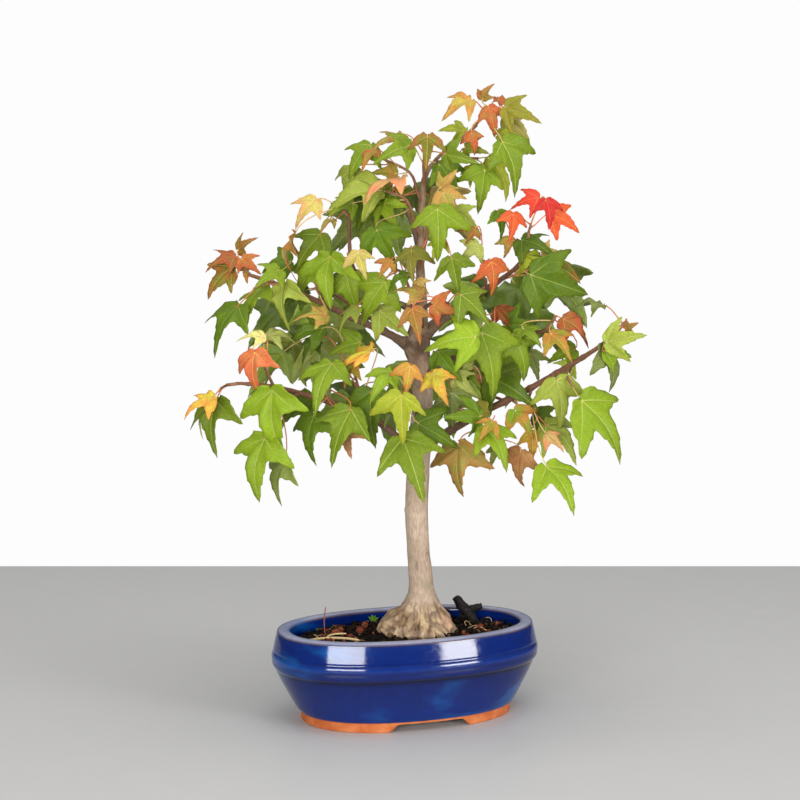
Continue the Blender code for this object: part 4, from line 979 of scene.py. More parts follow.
class BonsaiStageSettings(bpy.types.PropertyGroup):
    """Floor, light and camera."""

    floor_colour: bpy.props.FloatVectorProperty(
        name="Floor", description="Colour of the floor", subtype="COLOR",
        default=(0.52, 0.515, 0.51), min=0, max=1)
    daylight: bpy.props.FloatProperty(
        name="Daylight", description="Strength of the light from all round", default=0.45, min=0)
    key_power: bpy.props.FloatProperty(
        name="Softbox", description="Power of the softboxes", subtype="POWER", unit="POWER",
        default=13.0, min=0)


# Pieces

# The pot's outer skin, from the foot's inner edge up to the lip: how far it stands out, and its height.
POT_SKIN = (
    (-23.3, 5.6), (-23.1, 5.0), (-23.0, 1.0), (-22.8, 0.3), (-22.2, 0.0), (-15.1, 0.0), (-14.5, 0.2),
    (-14.25, 0.8), (-14.2, 4.9), (-14.1, 5.5), (-13.6, 5.75), (-13.0, 5.9), (-12.5, 6.3), (-11.6, 7.4),
    (-10.2, 9.5), (-8.6, 12.2), (-6.9, 15.3), (-5.2, 18.4), (-3.6, 21.3), (-2.0, 24.3), (-0.7, 27.0),
    (0.1, 28.8), (0.6, 30.0), (0.85, 30.7), (1.0, 31.2), (1.3, 31.6), (1.9, 32.2), (2.45, 33.0),
    (2.85, 34.1), (3.0, 35.1), (2.98, 35.8), (2.95, 36.2), (3.05, 36.8), (3.2, 37.6), (3.22, 38.4),
    (3.12, 39.2), (2.9, 40.1), (2.6, 40.9), (2.38, 41.5), (2.3, 41.9), (2.28, 42.3), (2.1, 43.1),
    (1.75, 44.7), (1.35, 46.6), (0.94, 48.5), (0.5, 50.4), (0.2, 51.6), (0.0, 52.3),
    (-0.12, 52.9), (-0.4, 53.35), (-0.9, 53.7), (-1.7, 53.9), (-3.0, 53.98), (-4.6, 53.98), (-5.9, 53.85),
    (-6.9, 53.5), (-7.5, 52.8), (-7.8, 51.6), (-7.9, 49.5), (-7.8, 46.5), (-7.0, 42.0), (-6.0, 36.0),
    (-6.2, 30.0), (-8.5, 22.0), (-12.5, 15.0), (-16.0, 11.4), (-19.0, FLOOR_TOP),
)
BELT_BOTTOM = 30.0
SIDE_SLOPE = 0.45  # below the belt the long sides slope in by this share of what the ends do


def pot_ring(out, z, steps):
    across = out * SIDE_SLOPE if out < 0 and z < BELT_BOTTOM else out
    ring = oval(POT_LENGTH / 2 + out, POT_WIDTH / 2 + across, z, steps)
    for point in ring:
        beside = smoothstep(NOTCH_LENGTH / 2 - 2.5, NOTCH_LENGTH / 2 + 3.0, abs(point.x))
        point.z = max(point.z, NOTCH_HEIGHT * (1 - beside))
    return ring


def soil_height(x, y):
    """The soil's surface: a low mound round the trunk, with shallow unevenness."""
    foot = place(*TRUNK[0][:3])
    away = math.hypot(x - foot.x, y - foot.y) / (POT_WIDTH / 2)
    mound = SOIL_MOUND * math.exp(-2.2 * away * away)
    return SOIL_TOP + mound + SOIL_UNEVEN * math.sin(x / 7) * math.cos(y / 6)


def drain_places():
    return (("left", -POT_LENGTH * DRAIN_PLACE), ("right", POT_LENGTH * DRAIN_PLACE))


class BONSAI_OT_pot(bpy.types.Operator):
    """Throws the oval pot: rounded lip, belt, sloping lower body, and bare foot with its passage"""

    bl_idname = "bonsai.pot"
    bl_label = "Pot"

    def execute(self, context):
        settings = context.scene.bonsai_pot
        bm = bmesh.new()
        skin(bm, [pot_ring(out, z, settings.steps) for out, z in POT_SKIN])
        for face in bm.faces:
            middle = face.calc_center_median()
            outside = math.hypot(middle.x / POT_LENGTH, middle.y / POT_WIDTH) > 0.05
            bare = middle.z < FOOT_HEIGHT and outside or middle.z < FOOT_HEIGHT - 0.3
            face.material_index = 1 if bare else 0
        pot = new_piece("glazed_pot", bm, (glaze_finish(settings), clay_finish(settings)), "pot")
        cutters = []
        for side, x in drain_places():
            cut = bmesh.new()
            bmesh.ops.create_cone(cut, cap_ends=True, segments=32, radius1=DRAIN_HOLE / 2,
                                  radius2=DRAIN_HOLE / 2, depth=3 * FLOOR_TOP)
            bmesh.ops.translate(cut, verts=cut.verts, vec=(x, 0, FOOT_HEIGHT))
            cutters.append(new_piece("hole_" + side, cut, ()))
            hole = pot.modifiers.new("hole", "BOOLEAN")
            hole.operation = "DIFFERENCE"
            hole.object = cutters[-1]
        graph = context.evaluated_depsgraph_get()
        finished = bpy.data.meshes.new_from_object(pot.evaluated_get(graph))
        pot.modifiers.clear()
        pot.data = finished
        for cutter in cutters:
            bpy.data.objects.remove(cutter)
        return {"FINISHED"}


class BONSAI_OT_drain_nets(bpy.types.Operator):
    """Lays a plastic net over each drain hole"""

    bl_idname = "bonsai.drain_nets"
    bl_label = "Drain nets"

    def execute(self, context):
        finish = net_finish()
        for side, x in drain_places():
            bm = bmesh.new()
            bmesh.ops.create_grid(bm, x_segments=8, y_segments=8, size=MESH_SIDE / 2 - 0.4)
            bmesh.ops.wireframe(bm, faces=bm.faces, thickness=0.8, use_boundary=True, use_replace=True,
                                use_even_offset=True)
            bmesh.ops.translate(bm, verts=bm.verts, vec=(x, 0, FLOOR_TOP + GAP + 0.45))
            new_piece("net_" + side, bm, (finish,), "drain_mesh_" + side)
        return {"FINISHED"}


SOIL_STEPS = 120  # points round the soil, and rings from its edge to its middle
SOIL_RINGS = 26
SOIL_INSET = 8.4  # from the rim line to the soil's edge, and to where the grains end
GRAIN_INSET = 9.4
TRUNK_CLEAR = 15  # no grains nearer than this to the trunk's centre
# Where the red-brown grains gather and where moss grows, each as a place and how far it reaches.
RED_GRAINS = ((-40, 12, 11), (-24, 24, 8), (-50, -4, 7), (52, -6, 8), (58, 6, 6), (30, -28, 6))
MOSS = ((-64, 2, 7), (-58, -14, 7), (-48, -22, 6), (62, 10, 7), (56, -12, 6), (46, 24, 8), (-36, 30, 7))
# The dark grains' colours, each with the share of the grains up to it.
GRAIN_COLOURS = (
    (0.56, (20, 15, 12)), (0.76, (31, 23, 17)), (0.87, (46, 34, 24)), (0.93, (66, 50, 36)),
    (0.955, (88, 78, 64)), (0.975, (112, 90, 62)), (1.0, (40, 38, 22)),
)


def nearness(x, y, spots):
    return max(math.exp(-((x - sx) ** 2 + (y - sy) ** 2) / reach ** 2) for sx, sy, reach in spots)


class BONSAI_OT_soil(bpy.types.Operator):
    """Fills the pot with dark mix, and scatters its grains over the surface"""

    bl_idname = "bonsai.soil"
    bl_label = "Soil"

    def execute(self, context):
        settings = context.scene.bonsai_soil
        finish = earth_finish("potting_mix", 0.8)
        bm, tint = painted_mesh()
        rings = [oval(POT_LENGTH / 2 + out, POT_WIDTH / 2 + out, z, SOIL_STEPS)
                 for out, z in ((-24, 11.2), (-15, 15), (-10, 24), (-8.6, 36), (-8.6, SOIL_TOP - 2.5))]
        edge = oval(POT_LENGTH / 2 - SOIL_INSET, POT_WIDTH / 2 - SOIL_INSET, 0, SOIL_STEPS)
        for n in range(SOIL_RINGS):
            ring = []
            for point in edge:
                x, y = point.x * (1 - n / (SOIL_RINGS + 0.5)), point.y * (1 - n / (SOIL_RINGS + 0.5))
                rough = 0.9 * noise.noise(Vector((x, y, 0)) / 3.1)
                rough += 0.7 * noise.noise(Vector((x, y, 5)) / 1.3)
                sunk = 0.7 + (1.2 if n == 0 else 0)
                ring.append(Vector((x, y, soil_height(x, y) - sunk + rough)))
            rings.append(ring)
        for ring in skin(bm, rings):
            for vertex in ring:
                green = 0.5 * nearness(vertex.co.x, vertex.co.y, MOSS)
                vertex[tint] = shade(mixed((24, 18, 14), (58, 62, 26), green))
        new_piece("soil_bed", bm, (finish,), "soil")
        self.scatter(settings, finish)
        return {"FINISHED"}

    def scatter(self, settings, finish):
        draw = random.Random(settings.grain_seed)
        (mix, mix_tint), (clay, clay_tint) = painted_mesh(), painted_mesh()
        half_length, half_width = POT_LENGTH / 2 - GRAIN_INSET, POT_WIDTH / 2 - GRAIN_INSET
        foot = place(*TRUNK[1][:3])
        for _ in range(settings.grains):
            x, y = draw.uniform(-half_length, half_length), draw.uniform(-half_width, half_width)
            inside = abs(x / half_length) ** OVAL_POWER + abs(y / half_width) ** OVAL_POWER
            clump = 0.5 + noise.noise(Vector((x, y, 3)) / 9)
            size = (0.8 + 3.0 * draw.random() ** 3) * (0.75 + 0.7 * clump)
            kind, red = draw.random(), draw.random()
            if inside > 1 or math.hypot(x - foot.x, y - foot.y) < TRUNK_CLEAR:
                continue
            mossy, reddish = nearness(x, y, MOSS), nearness(x, y, RED_GRAINS)
            colour = next(colour for limit, colour in GRAIN_COLOURS if kind <= limit)
            bm, tint = mix, mix_tint
            if red < 0.3 * reddish:
                colour = mixed((92, 44, 32), (134, 72, 50), draw.random())
                size *= 1.3
                bm, tint = clay, clay_tint
            elif draw.random() < 0.8 * mossy:
                colour = mixed((62, 66, 26), (104, 102, 44), draw.random())
                size *= 0.55
            grain = bmesh.ops.create_icosphere(bm, subdivisions=1 if size < 1.9 else 2, radius=size / 2)
            squash = Vector((draw.uniform(0.8, 1.25), draw.uniform(0.7, 1.0), draw.uniform(0.55, 0.9)))
            turn = Matrix.Rotation(draw.uniform(0, 6.28), 3, Vector((draw.random(), draw.random(), 1)))
            base = Vector((x, y, soil_height(x, y) + size * draw.uniform(0.0, 0.3)))
            for vertex in grain["verts"]:
                lump = 1 + 0.35 * noise.noise(vertex.co / size * 2.2 + base)
                vertex.co = base + turn @ (vertex.co * squash * lump)
                vertex[tint] = shade(colour)
        self.sprout(mix, mix_tint)
        new_piece("soil_grains", mix, (finish,))
        red = earth_finish("fired_clay", 0.6)
        new_piece("clay_grains", clay, (red,), "granule_1", "granule_2", "granule_3")

    def sprout(self, bm, tint):
        """A small green weed that comes up behind the trunk, on its left."""
        foot = place(-20, 30, 0)
        foot.z = soil_height(foot.x, foot.y) - 0.5
        for lean, height in ((-2.6, 4.5), (-0.6, 5.6), (1.4, 5.0), (3.2, 3.6)):
            tip = foot + turned((lean, 0.3 * lean, height))
            middle = foot.lerp(tip, 0.5) + Vector((0, 0, 0.8))
            stem(bm, eased([(foot, 0.35), (middle, 0.9), (tip, 0.25)], 1.0), 7, tint, (88, 128, 38))


# Lumps on the trunk, as a place in the tree's frame, how far the lump reaches, and how far it stands out.
LUMPS = (
    (4, -20, 51, 5.0, 2.4), (14, -18, 52, 6.5, 4.6), (21, -13, 50, 5.0, 2.6), (25, -5, 58, 4.6, 5.2),
    (26, 6, 53, 6.0, 3.4), (-10, -11, 56, 5.5, 3.8), (-14, 0, 53, 5.5, 3.6), (-6, 12, 54, 7.0, 3.4),
    (12, 18, 54, 7.0, 3.6), (17, -8, 62, 4.0, 2.4), (-4, -10, 63, 4.5, 2.6), (6, -15, 57, 3.4, -2.4),
    (20, -8, 55, 2.6, -2.6), (10, -13, 60, 3.6, -1.6), (1, -7, 218, 4.5, 2.0), (12, -5, 222, 4.0, 1.8),
    (6, -7, 228, 3.0, 1.2), (3, 6, 220, 5.0, 1.6), (8, -7, 213, 3.0, -1.0), (-1.5, -2, 122, 1.8, 1.1),
    (14, 1, 160, 3.5, 0.8), (1, -3, 158, 3.5, 0.9), (13, -4, 100, 3.0, 0.5), (2, -5, 186, 2.5, 0.7),
)

WIDE_CRACKS = (2.6, 14)  # how closely the root flare's upright cracks stand, and how long they are
FINE_CRACKS = (6.0, 7)
FLARE_TOP = 72.0
CROWN_BASE = 176.0  # the trunk's smooth bark browns from here
SWOLLEN_JOINT = 220.0  # where the main branches leave
LEADER = (232, 262)  # over these heights the leader narrows
LEADER_TAPER = 0.3


class BONSAI_OT_trunk(bpy.types.Operator):
    """Grows the trunk, from its gnarled root flare to the leader"""

    bl_idname = "bonsai.trunk"
    bl_label = "Trunk"

    def execute(self, context):
        settings = context.scene.bonsai_tree
        lumps = [(place(x, y, z), reach, height) for x, y, z, reach, height in LUMPS]
        foot = place(*TRUNK[2][:3])

        def fissure(point, turns, tall):
            """How deep in an upright crack the point is, from 0 to 1. More turns give more cracks."""
            angle = math.atan2(point.y - foot.y, point.x - foot.x)
            spot = Vector((turns * math.cos(angle), turns * math.sin(angle), point.z / tall))
            return max(0.0, 1 - 6 * abs(noise.noise(spot)))

        def swell(angle, point):
            low = smoothstep(FLARE_TOP, 58.0, point.z)
            more = low * (1.5 * math.cos(3 * angle + 0.6) + 0.6 * math.cos(5 * angle + 2))
            for centre, reach, height in lumps:
                more += height * math.exp(-(point - centre).length_squared / reach ** 2)
            more += (0.12 + 2.5 * low) * noise.noise(point / 5.5)
            more += (0.1 + 1.5 * low) * noise.noise(point / 2.1)
            more -= low * (1.9 * fissure(point, *WIDE_CRACKS) + 0.9 * fissure(point, *FINE_CRACKS))
            return more + 0.35 * noise.noise(point / 14)

        def colour(point):
            height = point.z
            low = smoothstep(FLARE_TOP, 60.0, height)
            bark = mixed(BARK_LIGHT, BARK_MID, smoothstep(-0.4, 0.5, noise.noise(point / 16)))
            gnarl = mixed((138, 108, 76), (208, 182, 138), smoothstep(-0.4, 0.4, noise.noise(point / 5)))
            crack = max(fissure(point, *WIDE_CRACKS), 0.8 * fissure(point, *FINE_CRACKS))
            gnarl = mixed(gnarl, (74, 52, 34), crack)
            bark = mixed(bark, gnarl, low * 0.9)
            peach = math.exp(-(point - place(26, -7, 57)).length_squared / 20)
            bark = mixed(bark, (222, 160, 128), 0.7 * peach)
            brown = mixed(BARK_BROWN, (128, 98, 72), smoothstep(-0.3, 0.5, noise.noise(point / 6)))
            bark = mixed(bark, brown, smoothstep(CROWN_BASE, LEADER[0], height))
            knot = math.exp(-((height - SWOLLEN_JOINT) / 9) ** 2)
            return mixed(bark, BARK_DARK, 0.7 * knot)

        path = eased([(place(x, y, z), radius * (1 - LEADER_TAPER * smoothstep(*LEADER, z)))
                      for x, y, z, radius in TRUNK], settings.ring_step / MM)
        bm, tint = painted_mesh()
        stem(bm, path, settings.trunk_sides, tint, colour, swell)
        new_piece("trunk_wood", bm, (bark_finish(),), "trunk")
        return {"FINISHED"}


BRANCH_STEP = 2.4  # from one ring of a branch to the next
NODE_SPACING = 17  # a branch is a little thicker at each leaf scar
NODE_LENGTH = 1.6
TRUNK_REACH = 6  # from the trunk's centre line to its bark, where the branch has a collar


class BONSAI_OT_branches(bpy.types.Operator):
    """Grows the twelve branches out of the trunk"""

    bl_idname = "bonsai.branches"
    bl_label = "Branches"

    def execute(self, context):
        finish = twig_bark_finish()
        paths = branch_paths()
        trunk = paths.pop("trunk")
        for name, path in paths.items():
            height = BRANCHES[name][0]
            heart = along(trunk, share_at_height(trunk, height))[0]
            knots = eased([(heart, path[0][1] * 1.2)] + path, BRANCH_STEP)
            shaped = []
            for i, (point, radius) in enumerate(knots):
                from_scar = (i * BRANCH_STEP) % NODE_SPACING - NODE_SPACING / 2
                node = math.exp(-(from_scar / NODE_LENGTH) ** 2)
                collar = 0.5 * math.exp(-max(0, (point - heart).length - TRUNK_REACH) / 3)
                shaped.append((point, radius * (0.9 + 0.22 * node + collar)))
            bm, tint = painted_mesh()

            def colour(point, heart=heart):
                share = smoothstep(5, 70, (point - heart).length)
                return mixed((112, 90, 70), (126, 86, 62), share)

            stem(bm, shaped, 12, tint, colour, lambda angle, point: 0.22 * noise.noise(point / 1.9))
            new_piece(name.replace("branch_", "limb_"), bm, (finish,), name)
        return {"FINISHED"}


def outline_of(draw, serration):
    """The edge of one leaf, as angles and distances, a little different for each leaf."""
    halves = []
    for side in (1, -1):
        widen = draw.uniform(-0.1, 0.16)
        lengthen = draw.uniform(-0.16, 0.08)
        half = []
        for i, (angle, reach) in enumerate(BLADE):
            lobe = smoothstep(*SINUS, angle)
            tooth = serration * (-1) ** i if i in TOOTHED else 0.0
            reach *= (1 + lobe * lengthen) * (1 + tooth + draw.uniform(-0.012, 0.012))
            half.append((side * angle * (1 + widen * lobe), reach))
        halves.append(half)
    return halves[1][:0:-1] + halves[0]


def set_blade(bm, layers, spot, length, tint_name, draw, settings):
    """Adds one leaf blade, from a grid that is fanned out round its foot."""
    tint, margin, veins, uv = layers
    edge = outline_of(draw, settings.serration)
    made = bmesh.ops.create_grid(bm, x_segments=len(edge) - 1, y_segments=BLADE_ROWS, size=0.5)["verts"]
    curl = draw.uniform(0.0, 0.42) * (2.2 if tint_name == "withered" else 1)
    fold, twist = draw.uniform(0.1, 0.5), draw.uniform(-0.3, 0.3)
    wave, phase = draw.uniform(0.008, 0.03), draw.uniform(0, 6.28)
    blade, rim, vein = TINTS[tint_name]
    light = draw.uniform(0.88, 1.12)
    blade, rim = (tuple(min(255, c * light) for c in colour) for colour in (blade, rim))
    spread = draw.uniform(0.25, 0.9)
    flat = {}
    for vertex in made:
        column = round((vertex.co.x + 0.5) * (len(edge) - 1))
        share = vertex.co.y + 0.5
        angle, reach = edge[column]
        reach *= share ** 0.85
        lobe = min((-SIDE_LOBE, 0.0, SIDE_LOBE), key=lambda way: abs(angle - way))
        turn = math.radians(angle - lobe)
        down, across = reach * math.cos(turn), reach * abs(math.sin(turn))
        x, y = reach * math.cos(math.radians(angle)), reach * math.sin(math.radians(angle))
        full = 1.0 if lobe == 0 else SIDE_LOBE_LENGTH
        height = blade_height(x, y, 1.0) + fold * min(across, 0.2) + twist * x * y
        height -= curl * max(0.0, down / full - 0.35) ** 2
        height += wave * math.sin(7 * math.radians(angle) + phase) * share ** 2 * 3
        vertex.co = (x * length, y * length, height * length)
        flat[vertex] = (down, across)
        tip = smoothstep(0.55, 1.05, down / full)
        border = smoothstep(0.5, 1.0, share)
        vertex[tint] = shade(mixed(blade, rim, spread * max(border * 0.7, tip)))
        vertex[margin] = shade(rim)
        vertex[veins] = shade(vein)
    for face in {face for vertex in made for face in vertex.link_faces}:
        for loop in face.loops:
            loop[uv].uv = flat[loop.vert]
    for vertex in thicken(bm, made, tint, settings.leaf_thickness / MM):
        vertex.co = spot @ vertex.co


def thicken(bm, sheet, tint, thick):
    """Joins a fanned sheet at its foot and gives it thickness, paler below. It returns its vertices."""
    before = set(bm.faces) - {face for vertex in sheet for face in vertex.link_faces}
    foot = [v for v in sheet if (v.co.x ** 2 + v.co.y ** 2) < 1e-8]
    bmesh.ops.remove_doubles(bm, verts=foot, dist=1e-3)
    faces = [face for face in bm.faces if face not in before]
    region = faces + list({e for f in faces for e in f.edges}) + list({v for f in faces for v in f.verts})
    under = {v for v in region if isinstance(v, bmesh.types.BMVert)}
    top = bmesh.ops.extrude_face_region(bm, geom=region)["geom"]
    lifted = [item for item in top if isinstance(item, bmesh.types.BMVert)]
    bmesh.ops.translate(bm, verts=lifted, vec=(0, 0, thick))
    pale = shade(UNDERSIDE)
    for vertex in under:
        vertex.co.z -= thick / 2
        vertex[tint] = tuple(a + (b - a) * 0.3 for a, b in zip(vertex[tint], pale))
    for vertex in lifted:
        vertex.co.z -= thick / 2
    whole = list(under) + lifted
    skin_faces = list({face for vertex in whole for face in vertex.link_faces})
    bmesh.ops.recalc_face_normals(bm, faces=skin_faces)
    return whole


def set_stalk(bm, tint, spot, length, root, colour, width, draw):
    """Adds the stalk, curving back from the foot of the blade to its twig."""
    foot = spot @ Vector((0.05 * length, 0, blade_height(0.05, 0, length)))
    back = -spot.to_3x3().col[0]
    span = (root - foot).length
    lift = Vector((0, 0, span * draw.uniform(-0.08, 0.14)))
    first, second = foot + back * span * 0.35 + lift * 0.5, root.lerp(foot, 0.35) + lift
    path = []
    count = max(4, round(span / 3.5))
    for n in range(count + 1):
        t = n / count
        point = foot * (1 - t) ** 3 + first * 3 * t * (1 - t) ** 2
        point += second * 3 * t * t * (1 - t) + root * t ** 3
        path.append((point, width / 2 * (0.85 + 0.25 * t + 0.35 * max(0.0, t - 0.85) / 0.15)))
    stem(bm, path, 6, tint, colour)


class BONSAI_OT_foliage(bpy.types.Operator):
    """Sets every spray: its twig, its leaf stalks and its three-lobed blades"""

    bl_idname = "bonsai.foliage"
    bl_label = "Foliage"

    def execute(self, context):
        settings = context.scene.bonsai_tree
        blade, stalk = blade_finish(), stalk_finish()
        for number, (name, (heart, path, leaves)) in enumerate(settled_sprays().items()):
            draw = random.Random(settings.leaf_seed * 1000 + number)
            bm = bmesh.new()
            layers = [bm.verts.layers.float_color.new(layer) for layer in ("tint", "margin", "vein_tint")]
            layers.append(bm.loops.layers.uv.new("veins"))
            for spot, length, _, tint_name in leaves:
                set_blade(bm, layers, spot, length, tint_name, draw, settings)
            blades = set(bm.faces)
            knots = eased([(heart, 1.0)] + [(point, 0.95 - 0.35 * i / len(path))
                                            for i, (point, _) in enumerate(path)], 3.0)
            stem(bm, knots, 8, layers[0], mixed(STALK_TINTS["brown"], BARK_BROWN, 0.5))
            for spot, length, root, tint_name in leaves:
                kind = "red" if draw.random() < 0.55 else "pale"
                colour = mixed(STALK_TINTS[kind], TINTS[tint_name][2], draw.uniform(0.05, 0.35))
                set_stalk(bm, layers[0], spot, length, root, colour, settings.stalk_width / MM, draw)
            for face in bm.faces:
                face.material_index = 0 if face in blades else 1
            new_piece(name.replace("spray_", "leaves_"), bm, (blade, stalk), name)
        return {"FINISHED"}


# What lies on the soil: points from the middle of the pot, each with its height above the soil.
CHAR_PLACE = (50, 17)
CHAR_STICKS = (  # each point also has its radius
    ((40.4, 21.2, 14.5, 1.6), (41.6, 20.8, 12.6, 2.7), (44.2, 19.8, 8.6, 3.0), (47.5, 18.5, 4.4, 3.3),
     (50.6, 17.3, -0.4, 3.0), (51.6, 16.9, -3.0, 2.6)),
    ((46.5, 18.9, 5.0, 2.4), (50.0, 17.6, 6.8, 2.3), (53.4, 16.3, 8.2, 2.1), (55.6, 15.5, 8.8, 1.4)),
    ((43.0, 20.2, 2.0, 1.2), (46.5, 18.9, 3.4, 2.2), (49.0, 18.0, 2.0, 2.4)),
)
STRAWS = (  # radius, and the points it runs through
    (0.75, ((-61, 4, 0.4), (-56, 1.5, 1.8), (-50, -0.5, 2.2), (-44, -4, 2.0), (-38, -8, 1.6),
            (-33, -10, 0.6))),
    (0.55, ((-50, -0.5, 2.2), (-47, 3, 2.6), (-42, 5, 2.2), (-36, 5, 1.4))),
)
STRAW_COLOUR = (206, 178, 128)
ROOTLET_COLOUR = (150, 116, 78)
ROOTLETS = 16
ROOTLET_RISE = (0.3, 1.5, 2.0, 1.4, 0.2)
ROOTLET_SEED = 11
DRY_STEM_PLACE = (-46, 14)
DRY_STEM_COLOUR = (150, 76, 54)


def lay(bm, tint, points, radius, colour):
    """Lays a straw over points, each given as its place and its height above the soil."""
    knots = [(Vector((x, y, soil_height(x, y) + rise)), radius) for x, y, rise in points]
    stem(bm, eased(knots, 1.6), 7, tint, colour)


class BONSAI_OT_litter(bpy.types.Operator):
    """Lays the charred bark, the straw and rootlets and the dry stem on the soil"""

    bl_idname = "bonsai.litter"
    bl_label = "Litter"

    def execute(self, context):
        self.char()
        self.straw()
        return {"FINISHED"}

    def char(self):
        """A charred stick that leans up to the left, with a stub towards the right."""
        bm = bmesh.new()
        foot = soil_height(*CHAR_PLACE) + 1.2

        def rough(angle, point):
            return 0.9 * noise.noise(point / 2.4) + 0.6 * noise.noise(point)

        for knots in CHAR_STICKS:
            path = eased([(Vector((x, y, foot + z)), radius) for x, y, z, radius in knots], 0.9)
            skin(bm, stem_rings(path, 14, rough))
        new_piece("char", bm, (charcoal_finish(),), "charred_bark")

    def straw(self):
        finish = stalk_finish()
        draw = random.Random(ROOTLET_SEED)
        bm, tint = painted_mesh()
        for radius, points in STRAWS:
            lay(bm, tint, points, radius, STRAW_COLOUR)
        for _ in range(ROOTLETS):
            x, y = draw.uniform(-62, 58), draw.uniform(-26, 22)
            if abs(x - 3) < 24:  # the trunk's root flare stands here
                continue
            way = draw.uniform(0, 6.28)
            points = []
            for rise in ROOTLET_RISE:
                points.append((x, y, rise))
                way += draw.uniform(-0.9, 0.9)
                x, y = x + 2.6 * math.cos(way), y + 2.6 * math.sin(way)
            radius = draw.uniform(0.18, 0.34)
            lay(bm, tint, points, radius, mixed(STRAW_COLOUR, ROOTLET_COLOUR, draw.random()))
        new_piece("dry_straw", bm, (finish,), "straw")
        bm, tint = painted_mesh()
        x, y = DRY_STEM_PLACE
        foot = Vector((x, y, soil_height(x, y)))
        knots = [(foot + Vector(bend), 0.34) for bend in ((0, 0, 0), (-0.6, 0, 8), (0.4, 0, 17))]
        stem(bm, eased(knots, 1.6), 7, tint, DRY_STEM_COLOUR)
        new_piece("hair_stem", bm, (finish,), "dry_stem")


# The stage, in metres and in the tree's own frame.
FLOOR_MIDDLE = (0, -0.95, 0)
FLOOR_HALF = (2.4, 1.4, 1, 1)
BACKDROP = (0.985, 0.982, 0.985, 1)
LOW_LIGHT = 0.22  # the daylight from the horizon and from above, as shares of its strength
HIGH_LIGHT = 1.25
SOFTBOXES = (  # name, place, size and share of the power
    ("softbox_left", (-0.36, -1.42, 0.37), (0.9, 0.32), 1.3),
    ("softbox_right", (1.17, -0.94, 0.31), (0.46, 0.32), 0.85),
    ("softbox_top", (0.1, -0.25, 1.5), (1.2, 1.2), 0.8),
)
SOFTBOX_AIM = (0, 0, 0.16)
CAMERA_PLACE = (-0.0036, -1.1209, 0.305)
CAMERA_DIP = 6  # degrees below level
CAMERA_LENS = 86.4
CAMERA_SENSOR = 36.0


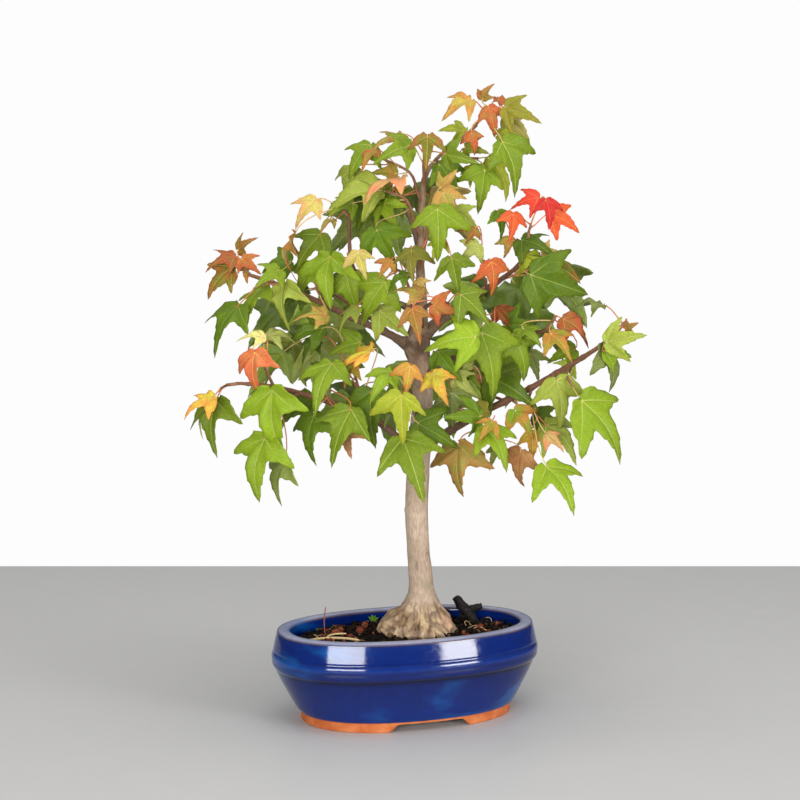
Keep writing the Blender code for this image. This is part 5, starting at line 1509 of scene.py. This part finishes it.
class BONSAI_OT_stage(bpy.types.Operator):
    """Sets the pale floor, the soft light and the camera"""

    bl_idname = "bonsai.stage"
    bl_label = "Stage"

    def execute(self, context):
        settings = context.scene.bonsai_stage
        self.floor(settings, context.scene)
        self.daylight(settings, context.scene)
        self.softboxes(settings, context.scene)
        self.camera(context.scene)
        context.scene.view_settings.view_transform = "Standard"
        return {"FINISHED"}

    def floor(self, settings, scene):
        bm = bmesh.new()
        bmesh.ops.create_grid(bm, x_segments=2, y_segments=2, size=1)
        bm.transform(Matrix.Translation(FLOOR_MIDDLE) @ Matrix.Diagonal(FLOOR_HALF))
        bm.transform(Matrix.Rotation(TREE_TURN, 4, "Z"))
        mesh = bpy.data.meshes.new("floor")
        bm.to_mesh(mesh)
        bm.free()
        ground = Finish("pale_floor", Specular_IOR_Level=0.3)
        grain = ground.noise(60.0, 3.0)
        base = (*settings.floor_colour, 1)
        colour = ground.blend(ground.spread(grain, 0.3, 0.7, 0.0, 0.06), base, (0.5, 0.5, 0.5, 1))
        mesh.materials.append(ground.finished(colour, ground.spread(grain, 0.2, 0.8, 0.4, 0.5)))
        floor = bpy.data.objects.new("floor", mesh)
        scene.collection.objects.link(floor)

    def daylight(self, settings, scene):
        """Light from all round, stronger from above, and an even pale backdrop for the camera."""
        world = bpy.data.worlds.new("studio")
        world.use_nodes = True
        scene.world = world
        nodes, links = world.node_tree.nodes, world.node_tree.links
        light = nodes["Background"]
        light.inputs["Color"].default_value = (1, 1, 1, 1)
        backdrop = nodes.new("ShaderNodeBackground")
        backdrop.inputs["Color"].default_value = BACKDROP
        path = nodes.new("ShaderNodeLightPath")
        mix = nodes.new("ShaderNodeMixShader")
        links.new(path.outputs["Is Camera Ray"], mix.inputs[0])
        links.new(light.outputs[0], mix.inputs[1])
        links.new(backdrop.outputs[0], mix.inputs[2])
        links.new(mix.outputs[0], nodes["World Output"].inputs["Surface"])
        coordinates = nodes.new("ShaderNodeTexCoord")
        direction = nodes.new("ShaderNodeSeparateXYZ")
        height = nodes.new("ShaderNodeMapRange")
        for name, value in (("From Min", 0.0), ("From Max", 0.75), ("To Min", LOW_LIGHT * settings.daylight),
                            ("To Max", HIGH_LIGHT * settings.daylight)):
            height.inputs[name].default_value = value
        links.new(coordinates.outputs["Generated"], direction.inputs[0])
        links.new(direction.outputs["Z"], height.inputs["Value"])
        links.new(height.outputs["Result"], light.inputs["Strength"])

    def softboxes(self, settings, scene):
        aim = POT_MIDDLE + Vector(SOFTBOX_AIM)
        for name, where, size, share in SOFTBOXES:
            lamp = bpy.data.lights.new(name, "AREA")
            lamp.shape = "RECTANGLE"
            lamp.size, lamp.size_y = size
            lamp.energy = settings.key_power * share
            holder = bpy.data.objects.new(name, lamp)
            scene.collection.objects.link(holder)
            holder.location = turned(where)
            holder.rotation_euler = (aim - holder.location).to_track_quat("-Z", "Y").to_euler()

    def camera(self, scene):
        camera = bpy.data.cameras.new("camera")
        camera.lens = CAMERA_LENS
        camera.sensor_width = CAMERA_SENSOR
        viewer = bpy.data.objects.new("camera", camera)
        scene.collection.objects.link(viewer)
        viewer.location = POT_MIDDLE + turned(CAMERA_PLACE)
        viewer.rotation_euler = (math.radians(90 - CAMERA_DIP), 0, TREE_TURN)
        scene.camera = viewer


class BONSAI_PT_panel(bpy.types.Panel):
    """Lists the pieces of the bonsai and their settings"""

    bl_idname = "BONSAI_PT_panel"
    bl_label = "Maple Bonsai"
    bl_space_type = "VIEW_3D"
    bl_region_type = "UI"
    bl_category = "Bonsai"

    def draw(self, context):
        for name, group, operators in SECTIONS:
            box = self.layout.box()
            box.label(text=name)
            settings = getattr(context.scene, group)
            for prop in settings.bl_rna.properties:
                if not prop.is_readonly and prop.identifier != "name":
                    box.prop(settings, prop.identifier)
            for operator in operators:
                box.operator(operator.bl_idname)


SECTIONS = (
    ("Pot", "bonsai_pot", (BONSAI_OT_pot, BONSAI_OT_drain_nets)),
    ("Soil", "bonsai_soil", (BONSAI_OT_soil, BONSAI_OT_litter)),
    ("Tree", "bonsai_tree", (BONSAI_OT_trunk, BONSAI_OT_branches, BONSAI_OT_foliage)),
    ("Stage", "bonsai_stage", (BONSAI_OT_stage,)),
)
GROUPS = {
    "bonsai_pot": BonsaiPotSettings,
    "bonsai_soil": BonsaiSoilSettings,
    "bonsai_tree": BonsaiTreeSettings,
    "bonsai_stage": BonsaiStageSettings,
}
CLASSES = (*GROUPS.values(), *(operator for section in SECTIONS for operator in section[2]), BONSAI_PT_panel)


def register():
    for cls in CLASSES:
        bpy.utils.register_class(cls)
    for name, group in GROUPS.items():
        setattr(bpy.types.Scene, name, bpy.props.PointerProperty(type=group))


def unregister():
    for name in GROUPS:
        delattr(bpy.types.Scene, name)
    for cls in reversed(CLASSES):
        bpy.utils.unregister_class(cls)


def main():
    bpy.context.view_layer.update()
    register()
    bpy.ops.bonsai.pot()
    bpy.ops.bonsai.drain_nets()
    bpy.ops.bonsai.soil()
    bpy.ops.bonsai.litter()
    bpy.ops.bonsai.trunk()
    bpy.ops.bonsai.branches()
    bpy.ops.bonsai.foliage()
    bpy.ops.bonsai.stage()
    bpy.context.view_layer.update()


if __name__ == "__main__":
    main()
